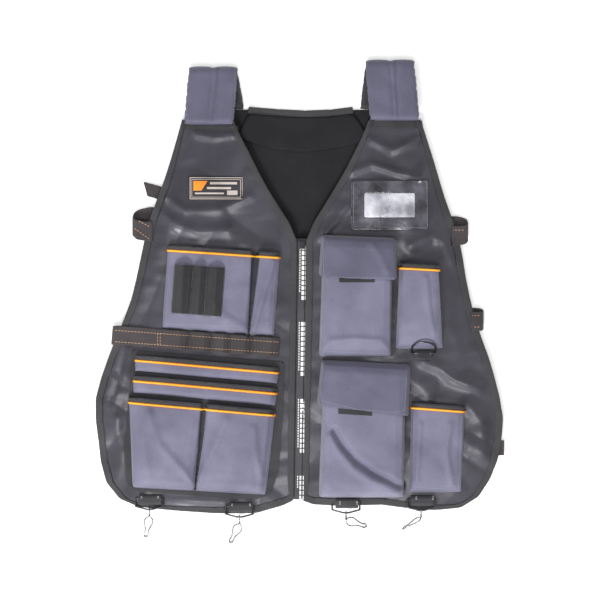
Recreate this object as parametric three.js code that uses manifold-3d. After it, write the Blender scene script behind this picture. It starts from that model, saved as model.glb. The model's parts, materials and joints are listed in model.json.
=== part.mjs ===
// A utility work vest, laid on its back with the zip closed: millimetres, +Z up, +Y towards the shoulders.
import * as THREE from "three";
import { mergeVertices } from "three/addons/utils/BufferGeometryUtils.js";
import Module from "manifold-3d";

const wasm = await Module();
wasm.setup();

// Driving sizes of the vest's body
const BODY_WIDTH = 520; // nominal width laid flat; the lower corners reach a little further
const BACK_LENGTH = 520; // hem to the back of the neck
const BACK_CLOTH = 2.4; // spacer mesh of the back
const FRONT_CLOTH = 2.2; // coated cloth and its lining
const CHEST_ROOM = 7; // free height between back and front where the torso goes
const SEWN_GAP = 0.3; // clearance between two pieces that are sewn together
const BACK_INSET = 4; // how far the back's edge lies inside the front's

// Driving sizes of the trims
const BINDING_CLOTH = 1;
const BINDING_WIDTH = 8;
const POCKET_BINDING_WIDTH = 5;
const PIPING_WIDTH = 3.2;
const PIPING_HEIGHT = 1.7;
const WEBBING_WIDTH = 25;
const WEBBING_CLOTH = 1.4;

// Driving sizes of the shoulders and the neck
const SHOULDER_WIDTH = 66;
const SHOULDER_CLOTH = 8;
const SHOULDER_END_CLOTH = 3;
const NECK_PAD_CLOTH = 4.5;

// Driving sizes of the pockets
const POCKET_WALL = 1.2;
const POCKET_BACK = 1.2;
const POCKET_SEAM = 2.2; // height of the stitched rim
const CHEST_POCKET_DEPTH = 12;
const TIER_1_DEPTH = 7.5;
const TIER_2_DEPTH = 9.5;
const TIER_3_DEPTH = 19;
const UPPER_POCKET_DEPTH = 26;
const LOWER_POCKET_DEPTH = 27;
const SIDE_POCKET_DEPTH = 24;
const SMALL_POCKET_DEPTH = 15;
const FLAP_ROOM = 0.9; // clearance between a flap and the pocket under it
const BACKING_CLOTH = 1.2;

// Driving sizes of the small pieces
const LABEL_WIDTH = 72;
const LABEL_HEIGHT = 32;
const LABEL_CLOTH = 1.4;
const CARD_WIDTH = 100;
const CARD_HEIGHT = 64;
const CARD_CLOTH = 3;
const CARD_SLOT = 1;
const WINDOW_WIDTH = 66;
const WINDOW_HEIGHT = 32;
const PEN_LOOPS_WIDTH = 66;
const PEN_LOOPS_LENGTH = 63;
const PEN_LOOPS_HEIGHT = 8.5;
const PEN_LOOPS_CLOTH = 1.3;
const TOOL_LOOP_HEIGHT = 6.5;
const TAPE_WIDTH = 29;
const TAPE_CLOTH = 1;
const COIL_WIDTH = 9;
const COIL_HEIGHT = 3;
const SLIDER_WIDTH = 7;
const SLIDER_LENGTH = 11;
const SLIDER_HEIGHT = 3;

// Driving sizes of the D-ring and the snap hooks
const D_RING_WIDTH = 31;
const D_RING_REACH = 25;
const D_RING_WIRE = 2.6;
const D_TAB_WIDTH = 23;
const TAB_WIDTH = 30;
const TAB_LENGTH = 12.8;
const TAB_ABOVE_BAR = 4.7;
const TAB_CLOTH = 1.2;
const TAB_ROOM = 4;
const RING_WIDTH = 36;
const RING_DEPTH = 14.3;
const RING_WIRE = 2.4;
const EYE_WIRE = 1.6;
const SNAP_LENGTH = 29;
const SNAP_WIDTH = 11.5;
const SNAP_WIRE = 1.9;
const SWIVEL_LENGTH = 7;

// Levels that follow from those sizes
const SIDE_ROOM = WEBBING_CLOTH + BINDING_CLOTH + 3 * SEWN_GAP;
const FRONT_UNDER = BACK_CLOTH + CHEST_ROOM;
const FRONT_TOP = FRONT_UNDER + FRONT_CLOTH;
const POCKET_BASE = FRONT_TOP + SEWN_GAP;
const TIER_BASE = POCKET_BASE + BACKING_CLOTH + SEWN_GAP;
const BINDING_REACH = SEWN_GAP + BINDING_CLOTH;
const TAB_BASE = FRONT_TOP + BINDING_REACH + SEWN_GAP;

// Outlines in shares of BODY_WIDTH (across) and BACK_LENGTH (up), from the hem's outer corner
const LEFT_PANEL = {
  outer: [
    { across: -0.4, up: 0.02 }, { across: -0.44, up: 0.034 }, { across: -0.483, up: 0.085 },
    { across: -0.5, up: 0.185 }, { across: -0.508, up: 0.28 }, { across: -0.495, up: 0.335 },
    { across: -0.458, up: 0.435 }, { across: -0.418, up: 0.535 }, { across: -0.395, up: 0.635 },
    { across: -0.372, up: 0.735 }, { across: -0.335, up: 0.835 }, { across: -0.305, up: 0.935 },
    { across: -0.29, up: 0.99 },
  ],
  hem: [
    { across: -0.4, up: 0.02 }, { across: -0.345, up: 0.0145 }, { across: -0.255, up: 0.007 },
    { across: -0.135, up: 0.003 }, { across: -0.08, up: 0.0095 }, { across: -0.04, up: 0.0245 },
    { across: -0.0155, up: 0.036 },
  ],
  inner: [
    { across: -0.0155, up: 0.036 }, { across: -0.012, up: 0.3 }, { across: -0.0075, up: 0.6 },
    { across: -0.0075, up: 0.685 }, { across: -0.0185, up: 0.715 }, { across: -0.0415, up: 0.7525 },
    { across: -0.075, up: 0.805 }, { across: -0.109, up: 0.8675 }, { across: -0.133, up: 0.9175 },
    { across: -0.1605, up: 0.9675 }, { across: -0.168, up: 0.99 },
  ],
};
const RIGHT_PANEL = {
  outer: [
    { across: 0.405, up: 0.0175 }, { across: 0.44, up: 0.036 }, { across: 0.475, up: 0.085 },
    { across: 0.495, up: 0.135 }, { across: 0.509, up: 0.235 }, { across: 0.502, up: 0.285 },
    { across: 0.475, up: 0.385 }, { across: 0.44, up: 0.485 }, { across: 0.417, up: 0.585 },
    { across: 0.4, up: 0.685 }, { across: 0.365, up: 0.785 }, { across: 0.335, up: 0.885 },
    { across: 0.302, up: 0.99 },
  ],
  hem: [
    { across: 0.405, up: 0.0175 }, { across: 0.345, up: 0.0125 }, { across: 0.285, up: 0.014 },
    { across: 0.225, up: 0.0245 }, { across: 0.175, up: 0.0265 }, { across: 0.1, up: 0.0235 },
    { across: 0.045, up: 0.0245 }, { across: 0.01, up: 0.036 },
  ],
  inner: [
    { across: 0.01, up: 0.036 }, { across: 0.0145, up: 0.3 }, { across: 0.0205, up: 0.6 },
    { across: 0.0215, up: 0.69 }, { across: 0.0355, up: 0.7225 }, { across: 0.0765, up: 0.79 },
    { across: 0.12, up: 0.8635 }, { across: 0.147, up: 0.9175 }, { across: 0.177, up: 0.98 },
    { across: 0.179, up: 0.99 },
  ],
};
// How high each column of a front panel lies, from its outer edge (0) to its inner edge (1)
const PANEL_COLUMNS = [
  { share: 0, lift: 0 }, { share: 0.065, lift: 0.45 }, { share: 0.15, lift: 0.93 }, { share: 0.25, lift: 1 },
  { share: 0.5, lift: 1 }, { share: 0.75, lift: 1 }, { share: 0.93, lift: 1 }, { share: 1, lift: 1 },
];
const PANEL_ROWS = 20;
const NECKLINE = [
  { across: -0.128, up: 1.0185 }, { across: -0.0525, up: 1.0125 }, { across: 0.015, up: 1.009 },
  { across: 0.08, up: 1.0115 }, { across: 0.136, up: 1.0185 },
];
const BACK_SHOULDER_UP = 1.0135;
const NECK_PAD_DROP = [
  { across: -0.155, up: 0.943 }, { across: -0.09, up: 0.924 }, { across: -0.0475, up: 0.9125 },
  { across: 0.015, up: 0.9085 }, { across: 0.08, up: 0.915 }, { across: 0.145, up: 0.928 },
  { across: 0.175, up: 0.943 },
];

// Pocket outlines: foot and mouth corners in shares of BODY_WIDTH and BACK_LENGTH
const POCKETS = [
  { name: "chest_pocket", depth: CHEST_POCKET_DEPTH, base: POCKET_BASE, foot: [-0.3425, 0.46625, -0.062, 0.44625],
    mouth: [-0.327, 0.6725, -0.0475, 0.654], split: [0.76, 0.78], round: 2.6, footShare: 0.16, mouthDepth: 0.95 },
  { name: "tier_pocket_1", depth: TIER_1_DEPTH, base: TIER_BASE, foot: [-0.411, 0.359, -0.0525, 0.327],
    mouth: [-0.4085, 0.398, -0.0505, 0.366], round: 6, footShare: 0.3, mouthDepth: 1 },
  { name: "tier_pocket_2", depth: TIER_2_DEPTH, base: TIER_BASE, foot: [-0.4155, 0.305, -0.058, 0.2715],
    mouth: [-0.4125, 0.347, -0.054, 0.315], round: 6, footShare: 0.3, mouthDepth: 1 },
  { name: "tier_pocket_3", depth: TIER_3_DEPTH, base: TIER_BASE, foot: [-0.416, 0.0675, -0.0825, 0.049],
    mouth: [-0.425, 0.293, -0.059, 0.2595], split: [0.462, 0.508], round: 2.6, footShare: 0.22, mouthDepth: 0.72 },
  { name: "upper_flap_pocket", depth: UPPER_POCKET_DEPTH, base: POCKET_BASE, foot: [0.05, 0.394, 0.229, 0.393],
    mouth: [0.06, 0.6725, 0.235, 0.6675], round: 6, footShare: 0.16, mouthDepth: 0.8 },
  { name: "side_pocket", depth: SIDE_POCKET_DEPTH, base: POCKET_BASE, foot: [0.2415, 0.41375, 0.36, 0.41375],
    mouth: [0.2515, 0.628, 0.3488, 0.622], round: 4, footShare: 0.3, mouthDepth: 0.75 },
  { name: "lower_flap_pocket", depth: LOWER_POCKET_DEPTH, base: POCKET_BASE, foot: [0.0488, 0.0425, 0.2625, 0.0415],
    mouth: [0.062, 0.3575, 0.266, 0.35], round: 6, footShare: 0.12, mouthDepth: 0.8 },
  { name: "small_pocket", depth: SMALL_POCKET_DEPTH, base: POCKET_BASE, foot: [0.275, 0.05425, 0.40575, 0.055],
    mouth: [0.2815, 0.28, 0.41425, 0.2688], round: 3, footShare: 0.2, mouthDepth: 0.85 },
];
const BOUND_POCKETS = ["chest_pocket", "tier_pocket_1", "tier_pocket_2", "tier_pocket_3", "side_pocket", "small_pocket"];
// Flaps are hoods: closed along the top and open at the free edge
const FLAPS = [
  { name: "upper_flap", over: "upper_flap_pocket", foot: [0.0563, 0.6988, 0.244, 0.691],
    mouth: [0.0485, 0.592, 0.246, 0.584], round: 6, footShare: 0.26, mouthDepth: 1 },
  { name: "lower_flap", over: "lower_flap_pocket", foot: [0.0563, 0.38625, 0.27875, 0.375],
    mouth: [0.044, 0.275, 0.275, 0.24625], round: 6, footShare: 0.22, mouthDepth: 1 },
];
const BACKING = [
  { across: -0.4155, up: 0.411 }, { across: -0.0365, up: 0.381 }, { across: -0.041, up: 0.235 },
  { across: -0.05, up: 0.11 }, { across: -0.07, up: 0.05 }, { across: -0.1125, up: 0.035 },
  { across: -0.2675, up: 0.0475 }, { across: -0.415, up: 0.06 }, { across: -0.4325, up: 0.0775 },
  { across: -0.4385, up: 0.165 },
];
const HOOKS = [
  { across: -0.372, ring: -0.374, base: POCKET_BASE, vertexUp: 0.0122, aim: -102, roll: 0 },
  { across: -0.1455, ring: -0.1485, base: TAB_BASE, vertexUp: -0.0065, aim: -116, roll: 0 },
  { across: 0.1195, ring: 0.1175, base: TAB_BASE, vertexUp: 0.004, aim: -20, roll: 0 },
  { across: 0.308, ring: 0.3055, base: TAB_BASE, vertexUp: 0.01, aim: -146, roll: 70 },
];
const SNAP_OUTLINE = [
  { along: 0, half: 0 }, { along: 0.1, half: 0.75 }, { along: 0.26, half: 1 }, { along: 0.46, half: 0.7 },
  { along: 0.7, half: 0.32 }, { along: 0.9, half: 0.46 }, { along: 1, half: 0 },
];
const TOOL_TACKS = [-0.35, -0.276, -0.22, -0.175, -0.12, -0.049];
const TOOL_LOOP_RISE = [
  { share: 0.1, rise: 0.45 }, { share: 0.3, rise: 0.95 }, { share: 0.7, rise: 0.95 }, { share: 0.9, rise: 0.45 },
  { share: 1, rise: 0 },
];

// Basic helpers
const lerp = THREE.MathUtils.lerp;
const at = (p) => new THREE.Vector2(p.across * BODY_WIDTH, p.up * BACK_LENGTH);
const raised = (p, z) => new THREE.Vector3(p.x, p.y, z);

// A body from points and triangles, with its faces turned out
function body(points, faces) {
  const flat = new Float32Array(faces.length * 9);
  let volume = 0;
  faces.forEach((f, i) => {
    const [a, b, c] = f.map((k) => points[k]);
    volume += a.dot(new THREE.Vector3().crossVectors(b, c));
  });
  faces.forEach((f, i) => {
    const order = volume < 0 ? [f[0], f[2], f[1]] : f;
    order.forEach((k, j) => points[k].toArray(flat, i * 9 + j * 3));
  });
  return new THREE.BufferGeometry().setAttribute("position", new THREE.BufferAttribute(flat, 3));
}

// A closed body as a solid that can be joined or cut, and back
function solidOf(geometry) {
  const bare = geometry.index ? geometry.toNonIndexed() : geometry.clone();
  bare.deleteAttribute("normal");
  bare.deleteAttribute("uv");
  const merged = mergeVertices(bare, 1e-3);
  const mesh = { numProp: 3, vertProperties: merged.attributes.position.array,
    triVerts: new Uint32Array(merged.index.array) };
  return new wasm.Manifold(new wasm.Mesh(mesh));
}
function geometryOf(solid) {
  const mesh = solid.getMesh();
  return new THREE.BufferGeometry()
    .setAttribute("position", new THREE.BufferAttribute(mesh.vertProperties, 3))
    .setIndex(new THREE.BufferAttribute(mesh.triVerts, 1));
}
const cut = (from, ...tools) => geometryOf(tools.reduce((s, t) => s.subtract(solidOf(t)), solidOf(from)));
const join = (...pieces) => geometryOf(pieces.slice(1).reduce((s, p) => s.add(solidOf(p)), solidOf(pieces[0])));

// The border of a grid of points, anticlockwise from its first corner
function borderOf(rows, columns) {
  const ring = [];
  for (let c = 0; c < columns; c++) ring.push([0, c]);
  for (let r = 0; r < rows; r++) ring.push([r, columns]);
  for (let c = columns; c > 0; c--) ring.push([rows, c]);
  for (let r = rows; r > 0; r--) ring.push([r, 0]);
  return ring;
}

// A slab between an upper and a lower grid of points
function slab(upper, lower) {
  const rows = upper.length - 1, columns = upper[0].length - 1, across = columns + 1;
  const points = [...upper.flat(), ...lower.flat()], under = upper.length * across, faces = [];
  const quad = (a, b, c, d) => faces.push([a, b, c], [a, c, d]);
  for (let r = 0; r < rows; r++)
    for (let c = 0; c < columns; c++) {
      const k = r * across + c;
      quad(k, k + 1, k + across + 1, k + across);
      quad(under + k, under + k + across, under + k + across + 1, under + k + 1);
    }
  const ring = borderOf(rows, columns).map(([r, c]) => r * across + c);
  ring.forEach((k, i) => {
    const next = ring[(i + 1) % ring.length];
    quad(k, under + k, under + next, next);
  });
  return body(points, faces);
}

// A mound: a grid of points above a flat floor
function mound(upper, floor) {
  const rows = upper.length - 1, columns = upper[0].length - 1, across = columns + 1;
  const points = upper.flat().map((p) => p.clone()), faces = [];
  for (let r = 0; r < rows; r++)
    for (let c = 0; c < columns; c++) {
      const k = r * across + c;
      faces.push([k, k + 1, k + across + 1], [k, k + across + 1, k + across]);
    }
  const ring = borderOf(rows, columns).map(([r, c]) => r * across + c), first = points.length;
  ring.forEach((k) => points.push(new THREE.Vector3(points[k].x, points[k].y, floor)));
  ring.forEach((k, i) => {
    const j = (i + 1) % ring.length;
    faces.push([k, first + i, first + j], [k, first + j, ring[j]]);
  });
  const middle = points.length;
  points.push(points.slice(first).reduce((sum, p) => sum.add(p), new THREE.Vector3()).divideScalar(ring.length));
  ring.forEach((_, i) => faces.push([first + i, middle, first + ((i + 1) % ring.length)]));
  return body(points, faces);
}

// Rings of points joined into a tube, closed on itself or capped; caps lists the cap's faces
function tube(rings, closed, caps) {
  const n = rings[0].length, points = rings.flat(), faces = [];
  const last = closed ? rings.length : rings.length - 1;
  for (let r = 0; r < last; r++)
    for (let i = 0; i < n; i++) {
      const a = r * n + i, b = r * n + ((i + 1) % n), shift = ((r + 1) % rings.length) * n;
      const c = shift + ((i + 1) % n), d = shift + i;
      faces.push([a, b, c], [a, c, d]);
    }
  if (!closed) {
    const end = (rings.length - 1) * n;
    const fan = caps || Array.from({ length: n - 2 }, (_, i) => [0, i + 1, i + 2]);
    fan.forEach((f) => faces.push([f[0], f[2], f[1]], f.map((k) => end + k)));
  }
  return body(points, faces);
}

// The faces that close a section, wound as its outline is
function capFaces(outline) {
  const faces = THREE.ShapeUtils.triangulateShape(outline, []);
  return THREE.ShapeUtils.area(outline) < 0 ? faces.map(([a, b, c]) => [a, c, b]) : faces;
}

// A flat plate from an outline of plan points
function plate(outline, from, to, holes = []) {
  const shape = new THREE.Shape(outline);
  shape.holes = holes.map((h) => new THREE.Path(h));
  return new THREE.ExtrudeGeometry(shape, { depth: to - from, bevelEnabled: false }).translate(0, 0, from);
}

// A smooth line through plan points, as evenly spaced points
function smooth(points, steps) {
  const curve = new THREE.CatmullRomCurve3(points.map((p) => raised(p, 0)), false, "centripetal");
  return Array.from({ length: steps + 1 }, (_, i) => {
    const p = curve.getPointAt(i / steps);
    return new THREE.Vector2(p.x, p.y);
  });
}

// The grid of a front panel: rows from hem to shoulder, columns from the outer to the inner edge
function panelGrid(panel) {
  const outer = smooth(panel.outer.map(at), PANEL_ROWS), inner = smooth(panel.inner.map(at), PANEL_ROWS);
  const hem = new THREE.CatmullRomCurve3(panel.hem.map((p) => raised(at(p), 0)), false, "centripetal");
  const [low, high] = [[outer[0], inner[0]], [outer[PANEL_ROWS], inner[PANEL_ROWS]]];
  return outer.map((left, r) => PANEL_COLUMNS.map(({ share: u, lift }) => {
    const v = r / PANEL_ROWS, right = inner[r], foot = hem.getPointAt(u);
    const blend = (axis) => lerp(left[axis], right[axis], u)
      + (1 - v) * (foot[axis] - lerp(low[0][axis], low[1][axis], u));
    return new THREE.Vector3(blend("x"), blend("y"), lerp(BACK_CLOTH + SIDE_ROOM, FRONT_UNDER, lift));
  }));
}
const lifted = (grid, height) => grid.map((row) => row.map((p) => new THREE.Vector3(p.x, p.y, p.z + height)));
const GRIDS = { left: panelGrid(LEFT_PANEL), right: panelGrid(RIGHT_PANEL) };

// The height of a front panel's upper face over a plan point
function topAt(grid, x, y) {
  for (let r = 0; r + 1 < grid.length; r++)
    for (let c = 0; c + 1 < grid[0].length; c++)
      for (const [a, b, d] of [[grid[r][c], grid[r][c + 1], grid[r + 1][c + 1]], [grid[r][c], grid[r + 1][c + 1], grid[r + 1][c]]]) {
        const area = (b.x - a.x) * (d.y - a.y) - (d.x - a.x) * (b.y - a.y);
        const s = ((x - a.x) * (d.y - a.y) - (d.x - a.x) * (y - a.y)) / area;
        const t = ((b.x - a.x) * (y - a.y) - (x - a.x) * (b.y - a.y)) / area;
        if (s >= -1e-6 && t >= -1e-6 && s + t <= 1 + 1e-6) return a.z + s * (b.z - a.z) + t * (d.z - a.z) + FRONT_CLOTH;
      }
  return BACK_CLOTH + SIDE_ROOM + FRONT_CLOTH;
}

// The corners of the folded binding's section, and the faces that close its ends
const FOLD_CAPS = [[0, 1, 6], [0, 6, 7], [1, 2, 5], [1, 5, 6], [2, 3, 4], [2, 4, 5]];
function foldSection(edge, inward, reachIn, top, under) {
  const out = (d) => new THREE.Vector2(edge.x - inward.x * d, edge.y - inward.y * d);
  const far = out(BINDING_REACH), near = out(SEWN_GAP);
  const inTop = reachIn.clone(), inUnder = reachIn.clone();
  inTop.z += top;
  inUnder.z += under;
  const up = (p, d) => new THREE.Vector3(p.x, p.y, p.z + d);
  return [up(inTop, BINDING_REACH), raised(far, edge.z + top + BINDING_REACH),
    raised(far, edge.z + under - BINDING_REACH), up(inUnder, -BINDING_REACH), up(inUnder, -SEWN_GAP),
    raised(near, edge.z + under - SEWN_GAP), raised(near, edge.z + top + SEWN_GAP), up(inTop, SEWN_GAP)];
}

// The mitred direction into the cloth at each point of a path, the cloth lying on its left
function inwardAlong(path) {
  return path.map((p, i) => {
    const before = path[Math.max(i - 1, 0)], after = path[Math.min(i + 1, path.length - 1)];
    const a = new THREE.Vector2(p.x - before.x, p.y - before.y), b = new THREE.Vector2(after.x - p.x, after.y - p.y);
    if (a.length() === 0) a.copy(b);
    if (b.length() === 0) b.copy(a);
    a.normalize();
    b.normalize();
    const mitre = new THREE.Vector2(-(a.y + b.y), a.x + b.x).normalize();
    const along = Math.max(mitre.dot(new THREE.Vector2(-a.y, a.x)), 0.6);
    return mitre.multiplyScalar(1 / along);
  });
}

// The binding folded round a front panel's outer edge, hem and inner edge
function panelBinding(grid, mirrored) {
  const rows = grid.length - 1, columns = grid[0].length - 1;
  const stops = [];
  for (let r = rows; r > 0; r--) stops.push({ r, c: 0, dr: 0, dc: 1, width: BINDING_WIDTH });
  stops.push({ r: 0, c: 0, dr: 1, dc: 1, width: BINDING_WIDTH });
  for (let c = 1; c < columns; c++) stops.push({ r: 0, c, dr: 1, dc: 0, width: BINDING_WIDTH });
  stops.push({ r: 0, c: columns, dr: 1, dc: -1, width: BINDING_WIDTH });
  for (let r = 1; r <= rows; r++) stops.push({ r, c: columns, dr: 0, dc: -1, width: BINDING_WIDTH });
  const path = stops.map((s) => grid[s.r][s.c]);
  const inward = inwardAlong(path).map((n) => (mirrored ? n.negate() : n));
  const rings = stops.map((s, i) => {
    const edge = grid[s.r][s.c], next = grid[s.r + s.dr][s.c + s.dc];
    const reach = Math.min(s.width / Math.hypot(next.x - edge.x, next.y - edge.y), 0.95);
    return foldSection(edge, inward[i], edge.clone().lerp(next, reach), FRONT_CLOTH, 0);
  });
  return tube(rings, false, FOLD_CAPS);
}

// The back's outline: the front's outer edges moved in, the shoulder ends and the neckline
function backOutline() {
  const side = (panel, sign) => smooth(panel.outer.map(at), PANEL_ROWS)
    .map((p) => new THREE.Vector2(p.x - sign * BACK_INSET, p.y + BACK_INSET));
  const left = side(LEFT_PANEL, -1).reverse(), right = side(RIGHT_PANEL, 1);
  const shoulderY = BACK_SHOULDER_UP * BACK_LENGTH;
  const hem = [...LEFT_PANEL.hem.slice(1), ...RIGHT_PANEL.hem.slice(1).reverse().slice(1)].map(at)
    .filter((p) => p.x > left.at(-1).x && p.x < right[0].x)
    .map((p) => new THREE.Vector2(p.x, p.y + BACK_INSET));
  const neck = NECKLINE.map(at);
  const corner = (x) => new THREE.Vector2(x, shoulderY);
  return [corner(left[0].x), ...left, ...hem, ...right, corner(right.at(-1).x),
    corner(neck.at(-1).x + SEWN_GAP), ...neck.toReversed(), corner(neck[0].x - SEWN_GAP)];
}

// The binding over the back neckline, which covers the edge and the inner face
function neckBinding() {
  const path = NECKLINE.map(at), inward = inwardAlong(path).map((n) => n.negate());
  const rings = path.map((p, i) => {
    const go = (d) => new THREE.Vector2(p.x + inward[i].x * d, p.y + inward[i].y * d);
    const top = BACK_CLOTH + BINDING_REACH, far = go(-BINDING_REACH), near = go(-SEWN_GAP), into = go(BINDING_WIDTH);
    return [raised(into, top), raised(far, top), raised(far, 0), raised(near, 0),
      raised(near, BACK_CLOTH + SEWN_GAP), raised(into, BACK_CLOTH + SEWN_GAP)];
  });
  return tube(rings, false, [[0, 1, 4], [0, 4, 5], [1, 2, 3], [1, 3, 4]]);
}

// The padded band inside the back of the neck
function neckPad() {
  const drop = (BINDING_WIDTH + SEWN_GAP * 2) / BACK_LENGTH;
  const top = NECKLINE.map(({ across, up }) => at({ across, up: up - drop }));
  const outline = [...top, ...NECK_PAD_DROP.map(at).reverse()];
  const rounding = NECK_PAD_CLOTH / 3;
  const shape = new THREE.Shape(outline);
  return new THREE.ExtrudeGeometry(shape, { depth: NECK_PAD_CLOTH - 2 * rounding, bevelEnabled: true,
    bevelThickness: rounding, bevelSize: rounding, bevelOffset: -rounding, bevelSegments: 1, curveSegments: 1 })
    .translate(0, 0, BACK_CLOTH + SEWN_GAP + rounding);
}

// The padded shoulder: two sewn channels that run over the shoulder to the back
const SHOULDER_SECTION = [
  { across: -1, out: 0.3 }, { across: -0.85, out: 0.85 }, { across: -0.5, out: 1 }, { across: -0.12, out: 0.85 },
  { across: 0, out: 0.5 }, { across: 0.12, out: 0.85 }, { across: 0.5, out: 1 }, { across: 0.85, out: 0.85 },
  { across: 1, out: 0.3 }, { across: 0.85, out: -0.9 }, { across: -0.85, out: -0.9 },
];
const SHOULDERS = [
  { name: "shoulder_pad_left", front: -0.2255, frontUp: 0.975, fold: -0.215, foldUp: 1.122, back: -0.198 },
  { name: "shoulder_pad_right", front: 0.2395, frontUp: 0.985, fold: 0.228, foldUp: 1.139, back: 0.2145 },
];
function shoulderPad({ front, frontUp, fold, foldUp, back }) {
  const half = SHOULDER_CLOTH / 2, topLevel = TAB_BASE + half, lowLevel = half;
  const radius = (topLevel - lowLevel) / 2, foldY = foldUp * BACK_LENGTH - radius - half;
  const backY = BACK_SHOULDER_UP * BACK_LENGTH + SEWN_GAP;
  const stations = [];
  const add = (across, y, z, angle, thick) => stations.push({ x: across * BODY_WIDTH, y, z, angle, thick });
  const endDrop = (SHOULDER_CLOTH - SHOULDER_END_CLOTH) / 2, frontY = frontUp * BACK_LENGTH;
  const run = foldY - frontY;
  add(front, frontY, TAB_BASE + SHOULDER_END_CLOTH / 2, 0, SHOULDER_END_CLOTH / SHOULDER_CLOTH);
  for (const share of [0.06, 0.3, 0.6, 0.85])
    add(lerp(front, fold, share), frontY + run * share, topLevel, 0, 1);
  for (let i = 0; i <= 6; i++) {
    const angle = (Math.PI * i) / 6;
    add(fold, foldY + radius * Math.sin(angle), lowLevel + radius * (1 + Math.cos(angle)), angle, 1);
  }
  const backRun = foldY - backY;
  for (const share of [0.35, 0.75, 0.93]) add(lerp(fold, back, share), foldY - backRun * share, lowLevel, Math.PI, 1);
  add(back, backY, lowLevel - endDrop, Math.PI, SHOULDER_END_CLOTH / SHOULDER_CLOTH);
  const rings = stations.map(({ x, y, z, angle, thick }) => SHOULDER_SECTION.map(({ across, out }) => {
    const d = out * half * thick;
    return new THREE.Vector3(x + (across * SHOULDER_WIDTH) / 2, y + d * Math.sin(angle), z + d * Math.cos(angle));
  }));
  return tube(rings, false, capFaces(SHOULDER_SECTION.map(({ across, out }) => new THREE.Vector2(across, out))));
}

// A pocket's plan point: u from left to right, v from foot to mouth
function planPoint(corners, u, v) {
  const [ax, ay, bx, by] = corners.foot, [cx, cy, dx, dy] = corners.mouth;
  return new THREE.Vector2(lerp(lerp(ax, bx, u), lerp(cx, dx, u), v) * BODY_WIDTH,
    lerp(lerp(ay, by, u), lerp(cy, dy, u), v) * BACK_LENGTH);
}
const PLEAT_FLOOR = 0.35; // how deep the cloth still stands at the pleat between two lobes
const LOBE_STEPS = [0, 0.035, 0.12, 0.3, 0.5, 0.7, 0.88, 0.965, 1];
const NARROW_STEPS = [0, 0.08, 0.25, 0.5, 0.75, 0.92, 1];
const FOOT_STEPS = [0, 0.15, 0.45, 1];
const superellipse = (t, power) => Math.pow(Math.max(1 - Math.pow(Math.abs(2 * t - 1), power), 0), 1 / power);

// The columns of a pocket, each with its share across at a height v and its fullness
function pocketColumns(pocket) {
  if (!pocket.split) return LOBE_STEPS.map((t) => ({ share: () => t, full: superellipse(t, pocket.round) }));
  const border = (v) => lerp(pocket.split[0], pocket.split[1], v);
  const lobe = (steps, from, to, startFloor, endFloor) => steps.map((t) => {
    const floor = lerp(startFloor, endFloor, t);
    return { share: (v) => lerp(from(v), to(v), t), full: floor + (1 - floor) * superellipse(t, pocket.round) };
  });
  const left = lobe(LOBE_STEPS, () => 0, border, 0, PLEAT_FLOOR);
  const right = lobe(NARROW_STEPS, border, () => 1, PLEAT_FLOOR, 0);
  return [...left, ...right.slice(1)];
}

// How far the front wall stands off at a share v of the height, as a share of the depth
function fullnessUp(pocket, v) {
  const t = Math.min(v / pocket.footShare, 1), power = 2.2;
  const rise = Math.pow(1 - Math.pow(1 - t, power), 1 / power);
  return rise * lerp(1, pocket.mouthDepth, Math.max((v - pocket.footShare) / (1 - pocket.footShare), 0));
}
const pocketRows = (pocket) => [...FOOT_STEPS.map((s) => s * pocket.footShare), (1 + pocket.footShare) / 2, 1];

// The front wall of a pocket at (column, v), offset inwards from the outer face by a wall
function wallPoint(pocket, column, v, depth) {
  const p = planPoint(pocket, column.share(Math.min(v, 1)), v);
  const height = POCKET_SEAM + (depth - POCKET_SEAM) * column.full * fullnessUp(pocket, Math.min(v, 1));
  return raised(p, pocket.base + height);
}

// The corners of the room inside a pocket: the plan drawn in by a wall at both sides and the foot
function drawnIn(pocket, wall) {
  const size = (a, b) => Math.hypot((a[2] - a[0]) * BODY_WIDTH, (a[3] - a[1]) * BACK_LENGTH);
  const side = wall / size(pocket.foot), tall = (pocket.mouth[1] - pocket.foot[1]) * BACK_LENGTH;
  const foot = Math.abs(wall / tall);
  const corner = (u, v) => {
    const p = planPoint(pocket, u, v);
    return [p.x / BODY_WIDTH, p.y / BACK_LENGTH];
  };
  return { ...pocket, foot: [...corner(side, foot), ...corner(1 - side, foot)],
    mouth: [...corner(side, 1), ...corner(1 - side, 1)] };
}

// A sewn pocket: its outer form less the room inside, open at the mouth
function pocketBody(pocket, backWall = POCKET_BACK) {
  const columns = pocketColumns(pocket), rows = pocketRows(pocket);
  const outer = rows.map((v) => columns.map((c) => wallPoint(pocket, c, v, pocket.depth)));
  const inside = drawnIn(pocket, POCKET_WALL), floor = pocket.base + backWall;
  const roomRows = [...rows, 1 + 0.1];
  const room = roomRows.map((v) => columns.map((c) => {
    const p = wallPoint(inside, c, v, pocket.depth);
    p.z = Math.max(p.z - POCKET_WALL, floor + SEWN_GAP);
    return p;
  }));
  return cut(mound(outer, pocket.base), mound(room, floor));
}

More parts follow.
